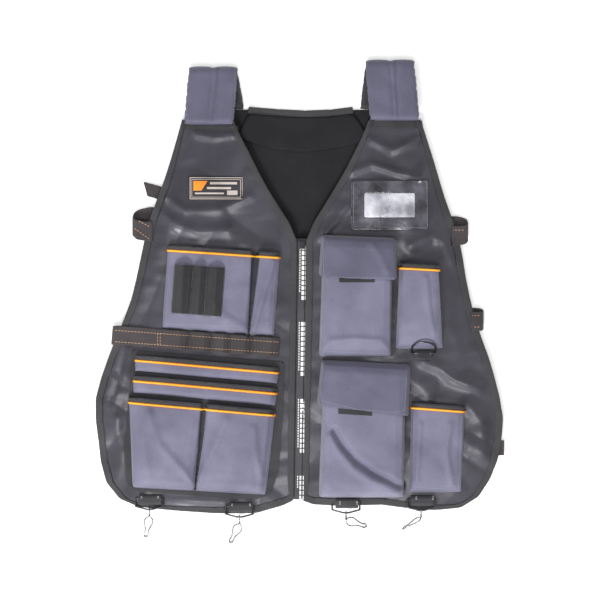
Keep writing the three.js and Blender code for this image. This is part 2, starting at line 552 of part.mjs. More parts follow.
// A strip that lies on a pocket's front wall between two heights, following its section
function stripOver(pocket, fromTop, width, height) {
  const columns = pocketColumns(pocket);
  const tall = Math.abs(pocket.mouth[1] - pocket.foot[1]) * BACK_LENGTH;
  const rows = [1 - (fromTop + width) / tall, 1 - fromTop / tall];
  const offset = (v, distance) => {
    const line = columns.map((c) => wallPoint(pocket, c, v, pocket.depth));
    return line.map((p, i) => {
      const a = line[Math.max(i - 1, 0)], b = line[Math.min(i + 1, line.length - 1)];
      const normal = new THREE.Vector2(a.z - b.z, b.x - a.x).normalize();
      return new THREE.Vector3(p.x + normal.x * distance, p.y, p.z + normal.y * distance);
    });
  };
  const lower = rows.map((v) => offset(v, SEWN_GAP)), upper = rows.map((v) => offset(v, SEWN_GAP + height));
  return slab(upper, lower);
}

// A band of webbing along a path, its width lying along a fixed direction
function ribbon(path, across, width, thickness) {
  const wide = across.clone().normalize().multiplyScalar(width / 2);
  const rings = path.map((p, i) => {
    const ahead = path[Math.min(i + 1, path.length - 1)].clone().sub(path[Math.max(i - 1, 0)]);
    const thick = new THREE.Vector3().crossVectors(wide, ahead).normalize().multiplyScalar(thickness / 2);
    return [[1, 1], [-1, 1], [-1, -1], [1, -1]].map(([w, t]) =>
      p.clone().addScaledVector(wide, w).addScaledVector(thick, t));
  });
  return tube(rings, false);
}

// A closed loop of wire bent at points, its section mitred at each bend
const WIRE_SIDES = 6;
function bentWire(path, thickness) {
  const n = path.length, normal = new THREE.Vector3();
  path.forEach((p, i) => normal.add(new THREE.Vector3().crossVectors(
    p.clone().sub(path[0]), path[(i + 1) % n].clone().sub(path[0]))));
  normal.normalize();
  const rings = path.map((p, i) => {
    const before = p.clone().sub(path[(i + n - 1) % n]).normalize(), after = path[(i + 1) % n].clone().sub(p).normalize();
    const side = new THREE.Vector3().crossVectors(before.clone().add(after), normal).normalize();
    const stretch = 1 / Math.max(side.dot(new THREE.Vector3().crossVectors(before, normal)), 0.5);
    return Array.from({ length: WIRE_SIDES }, (_, k) => {
      const angle = (2 * Math.PI * (k + 0.5)) / WIRE_SIDES;
      return p.clone().addScaledVector(side, (Math.cos(angle) * thickness * stretch) / 2)
        .addScaledVector(normal, (Math.sin(angle) * thickness) / 2);
    });
  });
  return tube(rings, true);
}

// A smooth closed loop of wire through points
function wireLoop(points, thickness, steps) {
  const curve = new THREE.CatmullRomCurve3(points, true, "centripetal");
  return bentWire(Array.from({ length: steps }, (_, i) => curve.getPointAt(i / steps)), thickness);
}

// The pen loops: three elastic arches over a flat strip
function penLoops() {
  const shares = [0, 0.37, 0.65, 1], floor = PEN_LOOPS_CLOTH;
  const arch = (from, to, inset, rise, low, steps) => Array.from({ length: steps + 1 }, (_, i) => {
    const angle = (Math.PI * i) / steps, half = (to - from) / 2 - inset;
    return new THREE.Vector2((from + to) / 2 + half * Math.cos(angle), low + rise * Math.sin(angle));
  });
  const outline = [new THREE.Vector2(PEN_LOOPS_WIDTH, 0)], holes = [];
  for (let i = 2; i >= 0; i--) {
    const from = shares[i] * PEN_LOOPS_WIDTH, to = shares[i + 1] * PEN_LOOPS_WIDTH;
    const points = arch(from, to, 0, PEN_LOOPS_HEIGHT - floor, floor, 8);
    outline.push(...(i < 2 ? points.slice(1) : points));
    holes.push(arch(from, to, PEN_LOOPS_CLOTH, PEN_LOOPS_HEIGHT - 2 * floor, floor, 8));
  }
  outline.push(new THREE.Vector2(0, 0));
  return plate(outline, 0, PEN_LOOPS_LENGTH, holes).translate(-PEN_LOOPS_WIDTH / 2, 0, -PEN_LOOPS_LENGTH / 2)
    .rotateX(Math.PI / 2);
}

// The outermost point of a panel's edge within a webbing's width of a height
function outermost(grid, sign, y) {
  const edge = grid.map((row) => row[0]);
  const edgeAt = (level) => {
    const k = edge.findIndex((p, i) => i + 1 < edge.length && (p.y - level) * (edge[i + 1].y - level) <= 0);
    return edge[k].clone().lerp(edge[k + 1], (level - edge[k].y) / (edge[k + 1].y - edge[k].y));
  };
  const ends = [-1, 0, 1].map((k) => edgeAt(y + (k * WEBBING_WIDTH) / 2));
  return ends.reduce((best, p) => (p.x * sign > best.x * sign ? p : best));
}

// The tool webbing: sewn down at its tacks, loose in arches between them, its outer end turned round the edge
function toolWebbing() {
  const [first, last] = [TOOL_TACKS[0], TOOL_TACKS.at(-1)], [firstUp, lastUp] = [0.4395, 0.417];
  const lineY = (across) => lerp(firstUp, lastUp, (across - first) / (last - first)) * BACK_LENGTH;
  const onPanel = (across, extra) => {
    const x = across * BODY_WIDTH, y = lineY(across);
    return new THREE.Vector3(x, y, topAt(GRIDS.left, x, y) + extra + WEBBING_CLOTH / 2);
  };
  const edgeY = lineY(LEFT_PANEL.outer[6].across), edge = outermost(GRIDS.left, -1, edgeY);
  const low = BACK_CLOTH + SEWN_GAP + WEBBING_CLOTH / 2, over = BINDING_REACH + 2 * SEWN_GAP;
  const outside = edge.x - BINDING_REACH - SEWN_GAP - WEBBING_CLOTH / 2;
  const edgeTop = edge.z + FRONT_CLOTH + over + WEBBING_CLOTH / 2;
  const path = [
    new THREE.Vector3(edge.x + BINDING_WIDTH * 1.5, edgeY, low), new THREE.Vector3(edge.x, edgeY, low),
    new THREE.Vector3(outside, edgeY, low + WEBBING_CLOTH), new THREE.Vector3(outside, edgeY, edgeTop - WEBBING_CLOTH),
    new THREE.Vector3(edge.x, edgeY, edgeTop + SEWN_GAP),
    onPanel((edge.x + 2 * BINDING_WIDTH) / BODY_WIDTH, over + 2 * SEWN_GAP), onPanel(-0.39, over), onPanel(first, SEWN_GAP),
  ];
  for (let i = 0; i + 1 < TOOL_TACKS.length; i++)
    for (const { share, rise } of TOOL_LOOP_RISE)
      path.push(onPanel(lerp(TOOL_TACKS[i], TOOL_TACKS[i + 1], share), SEWN_GAP + rise * TOOL_LOOP_HEIGHT));
  return ribbon(path, new THREE.Vector3(0.085, 1, 0), WEBBING_WIDTH, WEBBING_CLOTH);
}

// A webbing loop at a side: sewn on the front, out round the edge and back between the two layers
const SIDE_LOOPS = [
  { name: "side_loop_left", side: "left", up: 0.7075, backUp: 0.745, reach: 15 },
  { name: "side_loop_right", side: "right", up: 0.697, backUp: 0.722, reach: 9 },
  { name: "strap_tab_right", side: "right", up: 0.482, backUp: 0.492, reach: 4 },
];
function sideLoop({ side, up, backUp, reach }) {
  const sign = side === "left" ? -1 : 1, grid = GRIDS[side];
  const y = up * BACK_LENGTH, backY = backUp * BACK_LENGTH;
  const edge = outermost(grid, sign, y), backEdge = outermost(grid, sign, backY);
  const x = (inside) => edge.x - sign * inside;
  const low = BACK_CLOTH + SEWN_GAP + WEBBING_CLOTH / 2, sewn = BINDING_WIDTH + BINDING_CLOTH;
  const levels = [-1, 0, 1].map((k) => topAt(grid, x(sewn), y + (k * WEBBING_WIDTH) / 2));
  const top = Math.max(...levels) + BINDING_REACH + 2 * SEWN_GAP + WEBBING_CLOTH / 2;
  const path = [
    { out: -sewn, turn: 0, fall: 0 }, { out: 0, turn: 0, fall: 0 }, { out: 0.6 * reach, turn: 0.1, fall: 0.05 },
    { out: reach, turn: 0.35, fall: 0.3 }, { out: reach, turn: 0.65, fall: 0.75 },
    { out: 0.6 * reach, turn: 0.85, fall: 1 }, { out: 0, turn: 1, fall: 1 }, { out: -sewn, turn: 1, fall: 1 },
  ].map(({ out, turn, fall }) => {
    const clear = sign * (BINDING_REACH + SEWN_GAP + WEBBING_CLOTH) * (out > 0 ? 1 : 0);
    return new THREE.Vector3(lerp(edge.x, backEdge.x, turn) + sign * out + clear, lerp(y, backY, turn), lerp(top, low, fall));
  });
  return ribbon(path, new THREE.Vector3(0, 1, 0), WEBBING_WIDTH, WEBBING_CLOTH);
}

// A short webbing end that comes out between the two layers
const STRAP_TABS = [
  { name: "strap_tab_left", side: "left", up: 0.806, reach: 16, slope: -0.28 },
  { name: "strap_tab_low", side: "right", up: 0.165, reach: 5, slope: 0 },
];
function strapTab({ side, up, reach, slope }) {
  const sign = side === "left" ? -1 : 1, y = up * BACK_LENGTH, edge = outermost(GRIDS[side], sign, y);
  const low = BACK_CLOTH + SEWN_GAP + WEBBING_CLOTH / 2;
  const path = [-BINDING_WIDTH, 0, reach / 2, reach].map((out) => new THREE.Vector3(edge.x + sign * out, y - slope * out, low));
  return ribbon(path, new THREE.Vector3(-sign * slope, 1, 0), WEBBING_WIDTH * 0.8, WEBBING_CLOTH);
}

// A flattened webbing sleeve across X, which a wire passes through
function sleeve(width, length, room, cloth) {
  const loop = (half, end) => {
    const points = [];
    for (let i = 0; i <= 4; i++) points.push([end + half * Math.cos(-Math.PI / 2 + (Math.PI * i) / 4), half * Math.sin(-Math.PI / 2 + (Math.PI * i) / 4)]);
    for (let i = 0; i <= 4; i++) points.push([-end + half * Math.cos(Math.PI / 2 + (Math.PI * i) / 4), half * Math.sin(Math.PI / 2 + (Math.PI * i) / 4)]);
    return points.map(([a, b]) => new THREE.Vector2(a, b));
  };
  const outerHalf = room / 2 + cloth, end = length / 2 - outerHalf;
  return plate(loop(outerHalf, end), -width / 2, width / 2, [loop(room / 2, end)])
    .applyMatrix4(new THREE.Matrix4().makeBasis(new THREE.Vector3(0, 1, 0), new THREE.Vector3(0, 0, 1), new THREE.Vector3(1, 0, 0)));
}

// The D-ring leans on the foot of the side pocket, its bar held in a webbing sleeve
const D_RING = { across: 0.311, barUp: 0.403, lean: 0.93 };
function dRing() {
  const half = D_RING_WIDTH / 2;
  const outline = [[-half + 2, 0], [half - 2, 0], [half, 2.5], [half, D_RING_REACH * 0.4]];
  for (let i = 1; i < 8; i++) {
    const angle = (Math.PI * i) / 8;
    outline.push([half * Math.cos(angle), D_RING_REACH * (0.4 + 0.6 * Math.sin(angle))]);
  }
  outline.push([-half, D_RING_REACH * 0.4], [-half, 2.5]);
  return bentWire(outline.map(([x, y]) => new THREE.Vector3(x, y, 0)), D_RING_WIRE);
}

// One snap hook's ring: a bar under the tab, two sides and a narrow foot
function hookRing() {
  const half = RING_WIDTH / 2, foot = 3.2;
  const outline = [[-half + 1.5, 0], [half - 1.5, 0], [half, -1.5], [half, -RING_DEPTH * 0.72],
    [foot, -RING_DEPTH], [-foot, -RING_DEPTH], [-half, -RING_DEPTH * 0.72], [-half, -1.5]];
  return bentWire(outline.map(([x, y]) => new THREE.Vector3(x, y, 0)), RING_WIRE);
}

// The swivel eye round the ring's foot, its post and the pear-shaped snap, as one piece
function hookSnap(hook, ringLevel) {
  const eyeRadius = (RING_WIRE + EYE_WIRE) / 2 + 0.45;
  const eye = wireLoop(Array.from({ length: 8 }, (_, i) => {
    const angle = (2 * Math.PI * i) / 8;
    return new THREE.Vector3(0, eyeRadius * Math.cos(angle), eyeRadius * Math.sin(angle));
  }), EYE_WIRE, 8);
  const start = new THREE.Vector3(0, -eyeRadius, 0), end = new THREE.Vector3(0, -eyeRadius - SWIVEL_LENGTH, -SWIVEL_LENGTH * 0.45);
  const post = tube([[start, 0.75], [start.clone().lerp(end, 0.3), 1.5], [start.clone().lerp(end, 0.8), 1.5], [end, 0.9]]
    .map(([p, radius]) => Array.from({ length: WIRE_SIDES }, (_, k) => {
      const angle = (2 * Math.PI * (k + 0.5)) / WIRE_SIDES;
      return new THREE.Vector3(p.x + radius * Math.cos(angle), p.y, p.z + radius * Math.sin(angle));
    })), false);
  const aim = THREE.MathUtils.degToRad(hook.aim), roll = THREE.MathUtils.degToRad(hook.roll);
  const rest = SNAP_WIRE / 2 + SEWN_GAP + (Math.sin(roll) * SNAP_WIDTH) / 2 * 0.5;
  const drop = rest - (ringLevel + end.z);
  const outline = [...SNAP_OUTLINE.map((s) => ({ ...s })), ...SNAP_OUTLINE.slice(1, -1).reverse().map((s) => ({ along: s.along, half: -s.half }))];
  const pear = wireLoop(outline.map(({ along, half }) => {
    const a = along * SNAP_LENGTH, b = (half * SNAP_WIDTH) / 2, flat = b * Math.cos(roll);
    return new THREE.Vector3(end.x + a * Math.cos(aim) - flat * Math.sin(aim),
      end.y + a * Math.sin(aim) + flat * Math.cos(aim), end.z + drop * Math.min(along * 1.15, 1) + b * Math.sin(roll));
  }), SNAP_WIRE, 18);
  return join(eye, post, pear);
}

// Materials
const finish = (color, roughness, metalness = 0) => new THREE.MeshStandardMaterial({ color, roughness, metalness });
const FINISHES = {
  panel: finish(0x4b4a52, 0.55), mesh: finish(0x26252a, 0.95), binding: finish(0x3e3c40, 0.7),
  pocket: finish(0x8c87a0, 0.75), piping: finish(0xf2a832, 0.55), webbing: finish(0x484244, 0.8),
  elastic: finish(0x222226, 0.85), glossy: finish(0x141416, 0.2), clear: finish(0xb8bac2, 0.15),
  tape: finish(0x6a686e, 0.7), label: finish(0x1d1c20, 0.8), wire: finish(0x8a8c90, 0.3, 1),
};
const vest = new THREE.Group();
function add(name, geometry, material, parent = vest) {
  const mesh = new THREE.Mesh(geometry, FINISHES[material]);
  mesh.name = name;
  parent.add(mesh);
  return mesh;
}

// The body
add("back_panel", plate(backOutline(), 0, BACK_CLOTH), "mesh");
add("neck_binding", neckBinding(), "binding");
add("neck_pad", neckPad(), "mesh");
for (const side of ["left", "right"]) {
  const grid = GRIDS[side];
  add("front_panel_" + side, slab(lifted(grid, FRONT_CLOTH), grid), "panel");
  add("front_binding_" + side, panelBinding(grid, side === "right"), "binding");
}
SHOULDERS.forEach((s) => add(s.name, shoulderPad(s), "pocket"));

// The zip, which lies under the bindings of the two fronts
const TAPE_TOP = FRONT_UNDER - BINDING_REACH - SEWN_GAP;
function zipStrip(width, fromUp, toUp, low, high) {
  const middle = (up) => lerp(-0.0025, 0.007, (up - 0.036) / 0.65) * BODY_WIDTH;
  const y = (up) => up * BACK_LENGTH;
  return plate([[middle(fromUp) - width / 2, y(fromUp)], [middle(fromUp) + width / 2, y(fromUp)],
    [middle(toUp) + width / 2, y(toUp)], [middle(toUp) - width / 2, y(toUp)]].map(([a, b]) => new THREE.Vector2(a, b)), low, high);
}
const ZIP_FOOT = 0.0365, ZIP_HEAD = 0.69;
add("zipper_tape", zipStrip(TAPE_WIDTH, ZIP_FOOT, ZIP_HEAD, TAPE_TOP - TAPE_CLOTH, TAPE_TOP), "tape");
add("zipper_coil", zipStrip(COIL_WIDTH, ZIP_FOOT, ZIP_HEAD - 0.005, TAPE_TOP + SEWN_GAP, TAPE_TOP + SEWN_GAP + COIL_HEIGHT), "tape");
const sliderBase = TAPE_TOP + 2 * SEWN_GAP + COIL_HEIGHT;
const sliderUp = ZIP_HEAD - SLIDER_LENGTH / BACK_LENGTH - 0.006;
add("zipper_slider", zipStrip(SLIDER_WIDTH, sliderUp, sliderUp + SLIDER_LENGTH / BACK_LENGTH, sliderBase, sliderBase + SLIDER_HEIGHT), "wire");

// The chest
const rectangle = (width, height) => [[-1, -1], [1, -1], [1, 1], [-1, 1]]
  .map(([a, b]) => new THREE.Vector2((a * width) / 2, (b * height) / 2));
const label = add("chest_label", plate(rectangle(LABEL_WIDTH, LABEL_HEIGHT), 0, LABEL_CLOTH), "label");
label.position.set(-0.211 * BODY_WIDTH, 0.8137 * BACK_LENGTH, POCKET_BASE);
label.rotation.z = -0.02;
const cardAt = new THREE.Vector3(0.2263 * BODY_WIDTH, 0.7725 * BACK_LENGTH, POCKET_BASE);
const slotWidth = CARD_WIDTH - 8, slotTop = CARD_HEIGHT;
const cardSlot = plate(rectangle(slotWidth, slotTop), 1, 1 + CARD_SLOT).translate(0, 4, 0);
const windowHole = plate(rectangle(WINDOW_WIDTH, WINDOW_HEIGHT), 1 + CARD_SLOT / 2, CARD_CLOTH + 1);
const card = add("card_holder", cut(plate(rectangle(CARD_WIDTH, CARD_HEIGHT), 0, CARD_CLOTH), cardSlot, windowHole), "glossy");
card.position.copy(cardAt);
const film = rectangle(WINDOW_WIDTH - 2 * SEWN_GAP, WINDOW_HEIGHT - 2 * SEWN_GAP);
const pane = add("card_window", plate(film, 1 + CARD_SLOT + SEWN_GAP / 2, CARD_CLOTH - SEWN_GAP), "clear");
pane.position.copy(cardAt);

// The pockets with their bindings, pipings and flaps
add("pocket_backing", plate(BACKING.map(at), POCKET_BASE, POCKET_BASE + BACKING_CLOTH), "binding");
for (const pocket of POCKETS) {
  add(pocket.name, pocketBody(pocket), "pocket");
  if (!BOUND_POCKETS.includes(pocket.name)) continue;
  add(pocket.name + "_binding", stripOver(pocket, 0, POCKET_BINDING_WIDTH, BINDING_CLOTH), "binding");
  add(pocket.name + "_piping", stripOver(pocket, POCKET_BINDING_WIDTH + SEWN_GAP, PIPING_WIDTH, PIPING_HEIGHT), "piping");
}
for (const flap of FLAPS) {
  const under = POCKETS.find((p) => p.name === flap.over);
  const depth = under.depth * lerp(1, under.mouthDepth, 0.55) + FLAP_ROOM + 2 * POCKET_WALL;
  add(flap.name, pocketBody({ ...flap, depth, base: POCKET_BASE }, -1), "pocket");
}
const pens = add("pen_loops", penLoops(), "elastic");
pens.position.set(-0.2515 * BODY_WIDTH, 0.5595 * BACK_LENGTH, POCKET_BASE + CHEST_POCKET_DEPTH + SEWN_GAP);
pens.rotation.z = -0.075;
add("tool_webbing", toolWebbing(), "webbing");
SIDE_LOOPS.forEach((loop) => add(loop.name, sideLoop(loop), "webbing"));
STRAP_TABS.forEach((tab) => add(tab.name, strapTab(tab), "webbing"));

// The D-ring and its tab
const dRoom = D_RING_WIRE + 4 * SEWN_GAP, dTabLength = 12;
const dGroup = new THREE.Group();
dGroup.position.set(D_RING.across * BODY_WIDTH, D_RING.barUp * BACK_LENGTH, POCKET_BASE + TAB_CLOTH + dRoom / 2);
vest.add(dGroup);
const dTab = add("d_ring_tab", sleeve(D_TAB_WIDTH, dTabLength, dRoom, TAB_CLOTH), "webbing", dGroup);
dTab.position.y = -dTabLength / 2 + dRoom / 2 + TAB_CLOTH;
const ring = add("d_ring", dRing(), "wire", dGroup);
ring.rotation.x = D_RING.lean;

// The snap hooks along the hem
HOOKS.forEach((hook, i) => {
  const level = hook.base + TAB_CLOTH + TAB_ROOM / 2, barY = hook.vertexUp * BACK_LENGTH + RING_DEPTH;
  const tab = add("hook_tab_" + (i + 1), sleeve(TAB_WIDTH, TAB_LENGTH, TAB_ROOM, TAB_CLOTH), "webbing");
  tab.position.set(hook.across * BODY_WIDTH, barY + TAB_ABOVE_BAR - TAB_LENGTH / 2, level);
  const place = new THREE.Group();
  place.position.set(hook.ring * BODY_WIDTH, hook.vertexUp * BACK_LENGTH, level);
  vest.add(place);
  const wire = add("hook_ring_" + (i + 1), hookRing(), "wire", place);
  wire.position.y = RING_DEPTH;
  add("hook_snap_" + (i + 1), hookSnap(hook, level), "wire", place);
});

// The origin: the middle of the vest's outline, on the surface it lies on
const bounds = new THREE.Box3().setFromObject(vest, true);
vest.position.set(-(bounds.min.x + bounds.max.x) / 2, -(bounds.min.y + bounds.max.y) / 2, -bounds.min.z);

export default vest;
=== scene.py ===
# %% [markdown]
# # A utility work vest, laid flat
# The real vest is sewn from coated cloth, mesh, webbing and piping, and lies on its back under a
# camera that looks straight down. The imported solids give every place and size. This lesson dresses
# each of them: cloth gets fine triangles, soft edges and wrinkles, wires get round, and small
# things such as stitches and prints are built on top.

import json
import math

import bmesh
import bpy
import numpy as np
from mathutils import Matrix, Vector
from mathutils.bvhtree import BVHTree


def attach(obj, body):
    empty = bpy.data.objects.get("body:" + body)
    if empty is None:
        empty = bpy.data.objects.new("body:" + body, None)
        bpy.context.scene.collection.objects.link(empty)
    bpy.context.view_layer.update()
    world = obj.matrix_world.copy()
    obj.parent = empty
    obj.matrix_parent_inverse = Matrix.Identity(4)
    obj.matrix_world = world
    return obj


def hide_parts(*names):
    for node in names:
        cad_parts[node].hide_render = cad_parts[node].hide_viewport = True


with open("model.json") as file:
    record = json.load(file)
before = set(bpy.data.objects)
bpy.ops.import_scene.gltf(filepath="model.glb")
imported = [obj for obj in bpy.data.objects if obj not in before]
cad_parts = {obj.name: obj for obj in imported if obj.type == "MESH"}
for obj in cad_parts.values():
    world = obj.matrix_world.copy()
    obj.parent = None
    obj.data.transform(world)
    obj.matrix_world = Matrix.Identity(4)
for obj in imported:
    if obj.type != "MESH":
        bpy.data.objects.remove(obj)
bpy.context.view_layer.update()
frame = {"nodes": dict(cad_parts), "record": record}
MM = 0.001

# %% [markdown]
# The photograph is 600 pixels wide and shows 780 mm of table, so one pixel is 1.3 mm. Points that
# are read off the picture, such as the ends of a crease, are named in pixels and turned into metres
# here, so that they can be checked against the picture again.

# %% From a photograph's pixel to the table
PIXEL = 1.3 * MM
PHOTO_WIDTH = 600
PHOTO_MIDDLE = PHOTO_WIDTH / 2
MIDDLE_UP = 392.5 * MM - PHOTO_MIDDLE * PIXEL


def on_table(across, down):
    """The row-frame x and y, in metres, of a pixel of the photograph."""
    return (across - PHOTO_MIDDLE) * PIXEL, MIDDLE_UP - (down - PHOTO_MIDDLE) * PIXEL


print("picture middle:", [round(v / MM, 1) for v in on_table(PHOTO_MIDDLE, PHOTO_MIDDLE)])

# %% [markdown]
# ## Cloth that is not flat
# Sewn cloth is never quite flat: it bellies between its seams and creases where it was folded. All
# pieces that lie on each other have to move together, or the piping would sink into its pocket. So
# one field of wrinkles is made for the whole vest, a smooth function of place, and every piece of
# cloth is moved by it. Smooth noise comes from a small cube of random numbers, always the same ones.

# %% Smooth noise
NOISE_SIZE = 32
NOISE_SEED = 7
noise_cube = np.random.default_rng(NOISE_SEED).uniform(-1, 1, (NOISE_SIZE,) * 3)


def soft_noise(points):
    """Smooth noise from -1 to 1 at points given in wavelengths."""
    cell = np.floor(points).astype(int)
    part = points - cell
    part = part * part * (3 - 2 * part)
    total = np.zeros(len(points))
    for corner in np.ndindex(2, 2, 2):
        index = (cell + corner) % NOISE_SIZE
        weight = np.prod(np.where(corner, part, 1 - part), axis=1)
        total += weight * noise_cube[index[:, 0], index[:, 1], index[:, 2]]
    return total


def smooth_step(values, low, high):
    """0 below low, 1 above high, and a soft climb between."""
    share = np.clip((values - low) / (high - low), 0, 1)
    return share * share * (3 - 2 * share)


print("noise:", np.round(soft_noise(np.array([[0.5, 0.5, 0.5], [3.2, 1.1, 0.4]])), 3))

# %% [markdown]
# Long folds run in a direction, so the noise is stretched along it: short across the fold and long
# along it. Each row of the table is one family of folds: how far apart they are, how long, which
# way they run, and how deep they are on the panels and on the baggy pockets. A sharp family turns its
# waves into creases, by the distance of the noise from zero. Below a level the cloth stays still, and
# valleys are shallower than ridges, since the cloth lies on something.

# %% The families of folds
FOLDS = [
    {"apart": 85, "long": 150, "turn": 20, "panel": 3.0, "pocket": 2.6, "seed": 3, "sharp": 0.0},
    {"apart": 40, "long": 95, "turn": 65, "panel": 2.9, "pocket": 3.0, "seed": 11, "sharp": 0.4},
    {"apart": 26, "long": 60, "turn": -35, "panel": 2.3, "pocket": 2.3, "seed": 19, "sharp": 0.45},
    {"apart": 11, "long": 28, "turn": 10, "panel": 0.5, "pocket": 0.5, "seed": 23, "sharp": 0.0},
]
TABLE_LEVEL = 4 * MM
PANEL_LEVEL = 9.4 * MM
POCKET_LEVEL = 13.5 * MM
POCKET_CLIMB = 9 * MM
HEIGHT_WAVE = 80 * MM
CREASE_SHIFT = 0.6
VALLEY_SHARE = 0.55


def fold_height(points):
    """How far the cloth rises at each point, in metres."""
    on_panel = smooth_step(points[:, 2], TABLE_LEVEL, PANEL_LEVEL)
    on_pocket = smooth_step(points[:, 2], POCKET_LEVEL, POCKET_LEVEL + POCKET_CLIMB)
    rise = np.zeros(len(points))
    for fold in FOLDS:
        turn = math.radians(fold["turn"])
        along = points[:, 0] * math.cos(turn) + points[:, 1] * math.sin(turn)
        across = points[:, 1] * math.cos(turn) - points[:, 0] * math.sin(turn)
        waves = np.stack([along / (fold["long"] * MM), across / (fold["apart"] * MM),
                          points[:, 2] / HEIGHT_WAVE], axis=1) + fold["seed"]
        depth = fold["panel"] * on_panel + (fold["pocket"] - fold["panel"]) * on_pocket
        noise = soft_noise(waves)
        creased = np.abs(noise) * 2 - CREASE_SHIFT
        rise += (noise + (creased - noise) * fold["sharp"]) * depth * MM
    return np.where(rise < 0, rise * VALLEY_SHARE, rise)


print("folds at the middle, mm:", np.round(fold_height(np.array([[0.05, 0.0, 0.0116]])) / MM, 2))

# %% [markdown]
# Some creases of this very vest are plain to see, and are drawn in. Each is a line of pixels with a
# width in pixels at either end and a height in millimetres; a negative height is a valley. A pleat is
# cut no deeper than most of the pocket's stand above its floor. The pads' seams are only on the pads.

# %% The creases that can be seen
CREASES = [
    {"line": [(334, 430), (342, 444), (356, 460), (374, 472), (400, 485)], "wide": (3.4, 3.0), "high": -4.2},
    {"line": [(330, 436), (338, 450), (352, 466), (370, 479), (396, 492)], "wide": (4.5, 4.5), "high": 2.4},
    {"line": [(322, 350), (330, 341), (354.6, 338.4), (380, 341), (390, 351)],
     "wide": (3.5, 3.5), "high": 1.6},
    {"line": [(322, 236), (332, 226), (338, 221)], "wide": (4, 4), "high": 1.2},
    {"line": [(213, 300), (226, 318), (246, 330)], "wide": (5, 5), "high": 1.3},
    {"line": [(160, 212), (176, 226), (196, 232), (228, 230)], "wide": (6, 6), "high": 1.8},
    {"line": [(166, 198), (186, 210), (222, 208), (250, 196)], "wide": (5, 5), "high": 1.6},
    {"line": [(196, 134), (214, 137), (232, 135)], "wide": (4, 4), "high": 1.5},
    {"line": [(352, 172), (372, 164), (396, 172), (420, 178)], "wide": (4, 4), "high": 1.8},
    {"line": [(372, 140), (392, 150), (420, 138)], "wide": (4.5, 4.5), "high": 1.6},
    {"line": [(326, 232), (336, 218), (346, 206)], "wide": (4, 4), "high": 1.5},
    {"line": [(412, 246), (432, 236), (446, 240), (456, 262)], "wide": (6, 6), "high": 1.8},
    {"line": [(424, 362), (440, 368), (456, 380), (480, 388)], "wide": (6, 6), "high": 2.2},
    {"line": [(468, 404), (482, 420), (486, 450)], "wide": (7, 7), "high": 1.6},
    {"line": [(126, 350), (120, 378), (112, 404)], "wide": (6, 6), "high": 1.8},
    {"line": [(116, 420), (120, 452), (114, 478)], "wide": (6, 6), "high": 1.4},
    {"line": [(166, 500), (190, 502), (222, 503)], "wide": (5, 5), "high": 0.8},
    {"line": [(184, 266), (181, 311)], "wide": (3.4, 3.4), "high": 2.0},
    {"line": [(201, 268), (198, 312)], "wide": (2.8, 2.8), "high": 2.0},
    {"line": [(217, 269), (214, 314)], "wide": (3, 3), "high": 2.0},
    {"line": [(150, 414), (160, 444), (184, 470), (194, 484)], "wide": (5, 3), "high": 1.6},
    {"line": [(226, 420), (212, 452), (198, 482)], "wide": (5, 3), "high": 2.0},
    {"line": [(254, 428), (256, 452), (262, 476)], "wide": (4, 4), "high": 1.6},
    {"line": [(150, 412), (144, 440), (150, 476)], "wide": (4, 4), "high": 1.4},
    {"line": [(420, 424), (418, 450), (416, 480)], "wide": (3, 3), "high": 1.5},
    {"line": [(450, 424), (446, 450), (452, 484)], "wide": (3, 3), "high": 1.5},
    {"line": [(274, 262), (262, 300), (254, 330)], "wide": (3, 3), "high": 1.6},
    {"line": [(371, 244), (380, 256), (386, 270)], "wide": (4, 4), "high": 1.3},
    {"line": [(425, 278), (428, 306), (434, 334)], "wide": (3, 3), "high": 1.6},
]
CREASE_STRENGTH = 1.4
PLEATS = [
    {"line": [(256, 252), (252.5, 296), (248.2, 336)], "wide": (3.4, 0.9), "high": -10},
    {"line": [(204.6, 404), (200, 450), (195.2, 489)], "wide": (2.6, 0.9), "high": -12},
]
PAD_SEAMS = [
    {"line": [(218.6, 60), (218, 80), (215, 105), (211.9, 124)], "wide": (1.3, 1.3), "high": -2.6},
    {"line": [(395.8, 54), (396, 80), (398, 105), (398.4, 121)], "wide": (1.3, 1.3), "high": -2.6},
]
CREASES_FROM = (8 * MM, 11 * MM)
PLEAT_FLOOR = 12.0 * MM
PLEAT_SHARE = 0.9
PADS_FROM = (15 * MM, 19 * MM)


def to_line(points, line):
    """Each point's distance in metres from a line of pixels, and how far along the line it is, 0 to 1."""
    corners = np.array([on_table(*pixel) for pixel in line])
    steps = np.linalg.norm(np.diff(corners, axis=0), axis=1)
    best, along, done = np.full(len(points), 1.0), np.zeros(len(points)), 0.0
    for start, end, length in zip(corners[:-1], corners[1:], steps):
        share = np.clip(((points[:, :2] - start) @ (end - start)) / length ** 2, 0, 1)
        away = np.linalg.norm(points[:, :2] - start - share[:, None] * (end - start), axis=1)
        along = np.where(away < best, (done + share * length) / steps.sum(), along)
        best = np.minimum(best, away)
        done += length
    return best, along


def ridge(points, crease, sharp=2):
    """One crease's rise at each point, in metres."""
    away, along = to_line(points, crease["line"])
    wide = (crease["wide"][0] + (crease["wide"][1] - crease["wide"][0]) * along) * PIXEL
    return crease["high"] * MM * np.exp(-((away / wide) ** sharp))


def crease_height(points):
    """The drawn creases' rise at each point, in metres."""
    on_cloth = smooth_step(points[:, 2], *CREASES_FROM)
    rise = CREASE_STRENGTH * sum(ridge(points, crease) for crease in CREASES) * on_cloth
    for pleat in PLEATS:
        deepest = np.maximum(points[:, 2] - PLEAT_FLOOR, 0) * PLEAT_SHARE
        rise += np.maximum(ridge(points, pleat, sharp=4), -deepest)
    on_pad = smooth_step(points[:, 2], *PADS_FROM)
    return rise + sum(ridge(points, seam) for seam in PAD_SEAMS) * on_pad


print("creases:", len(CREASES))

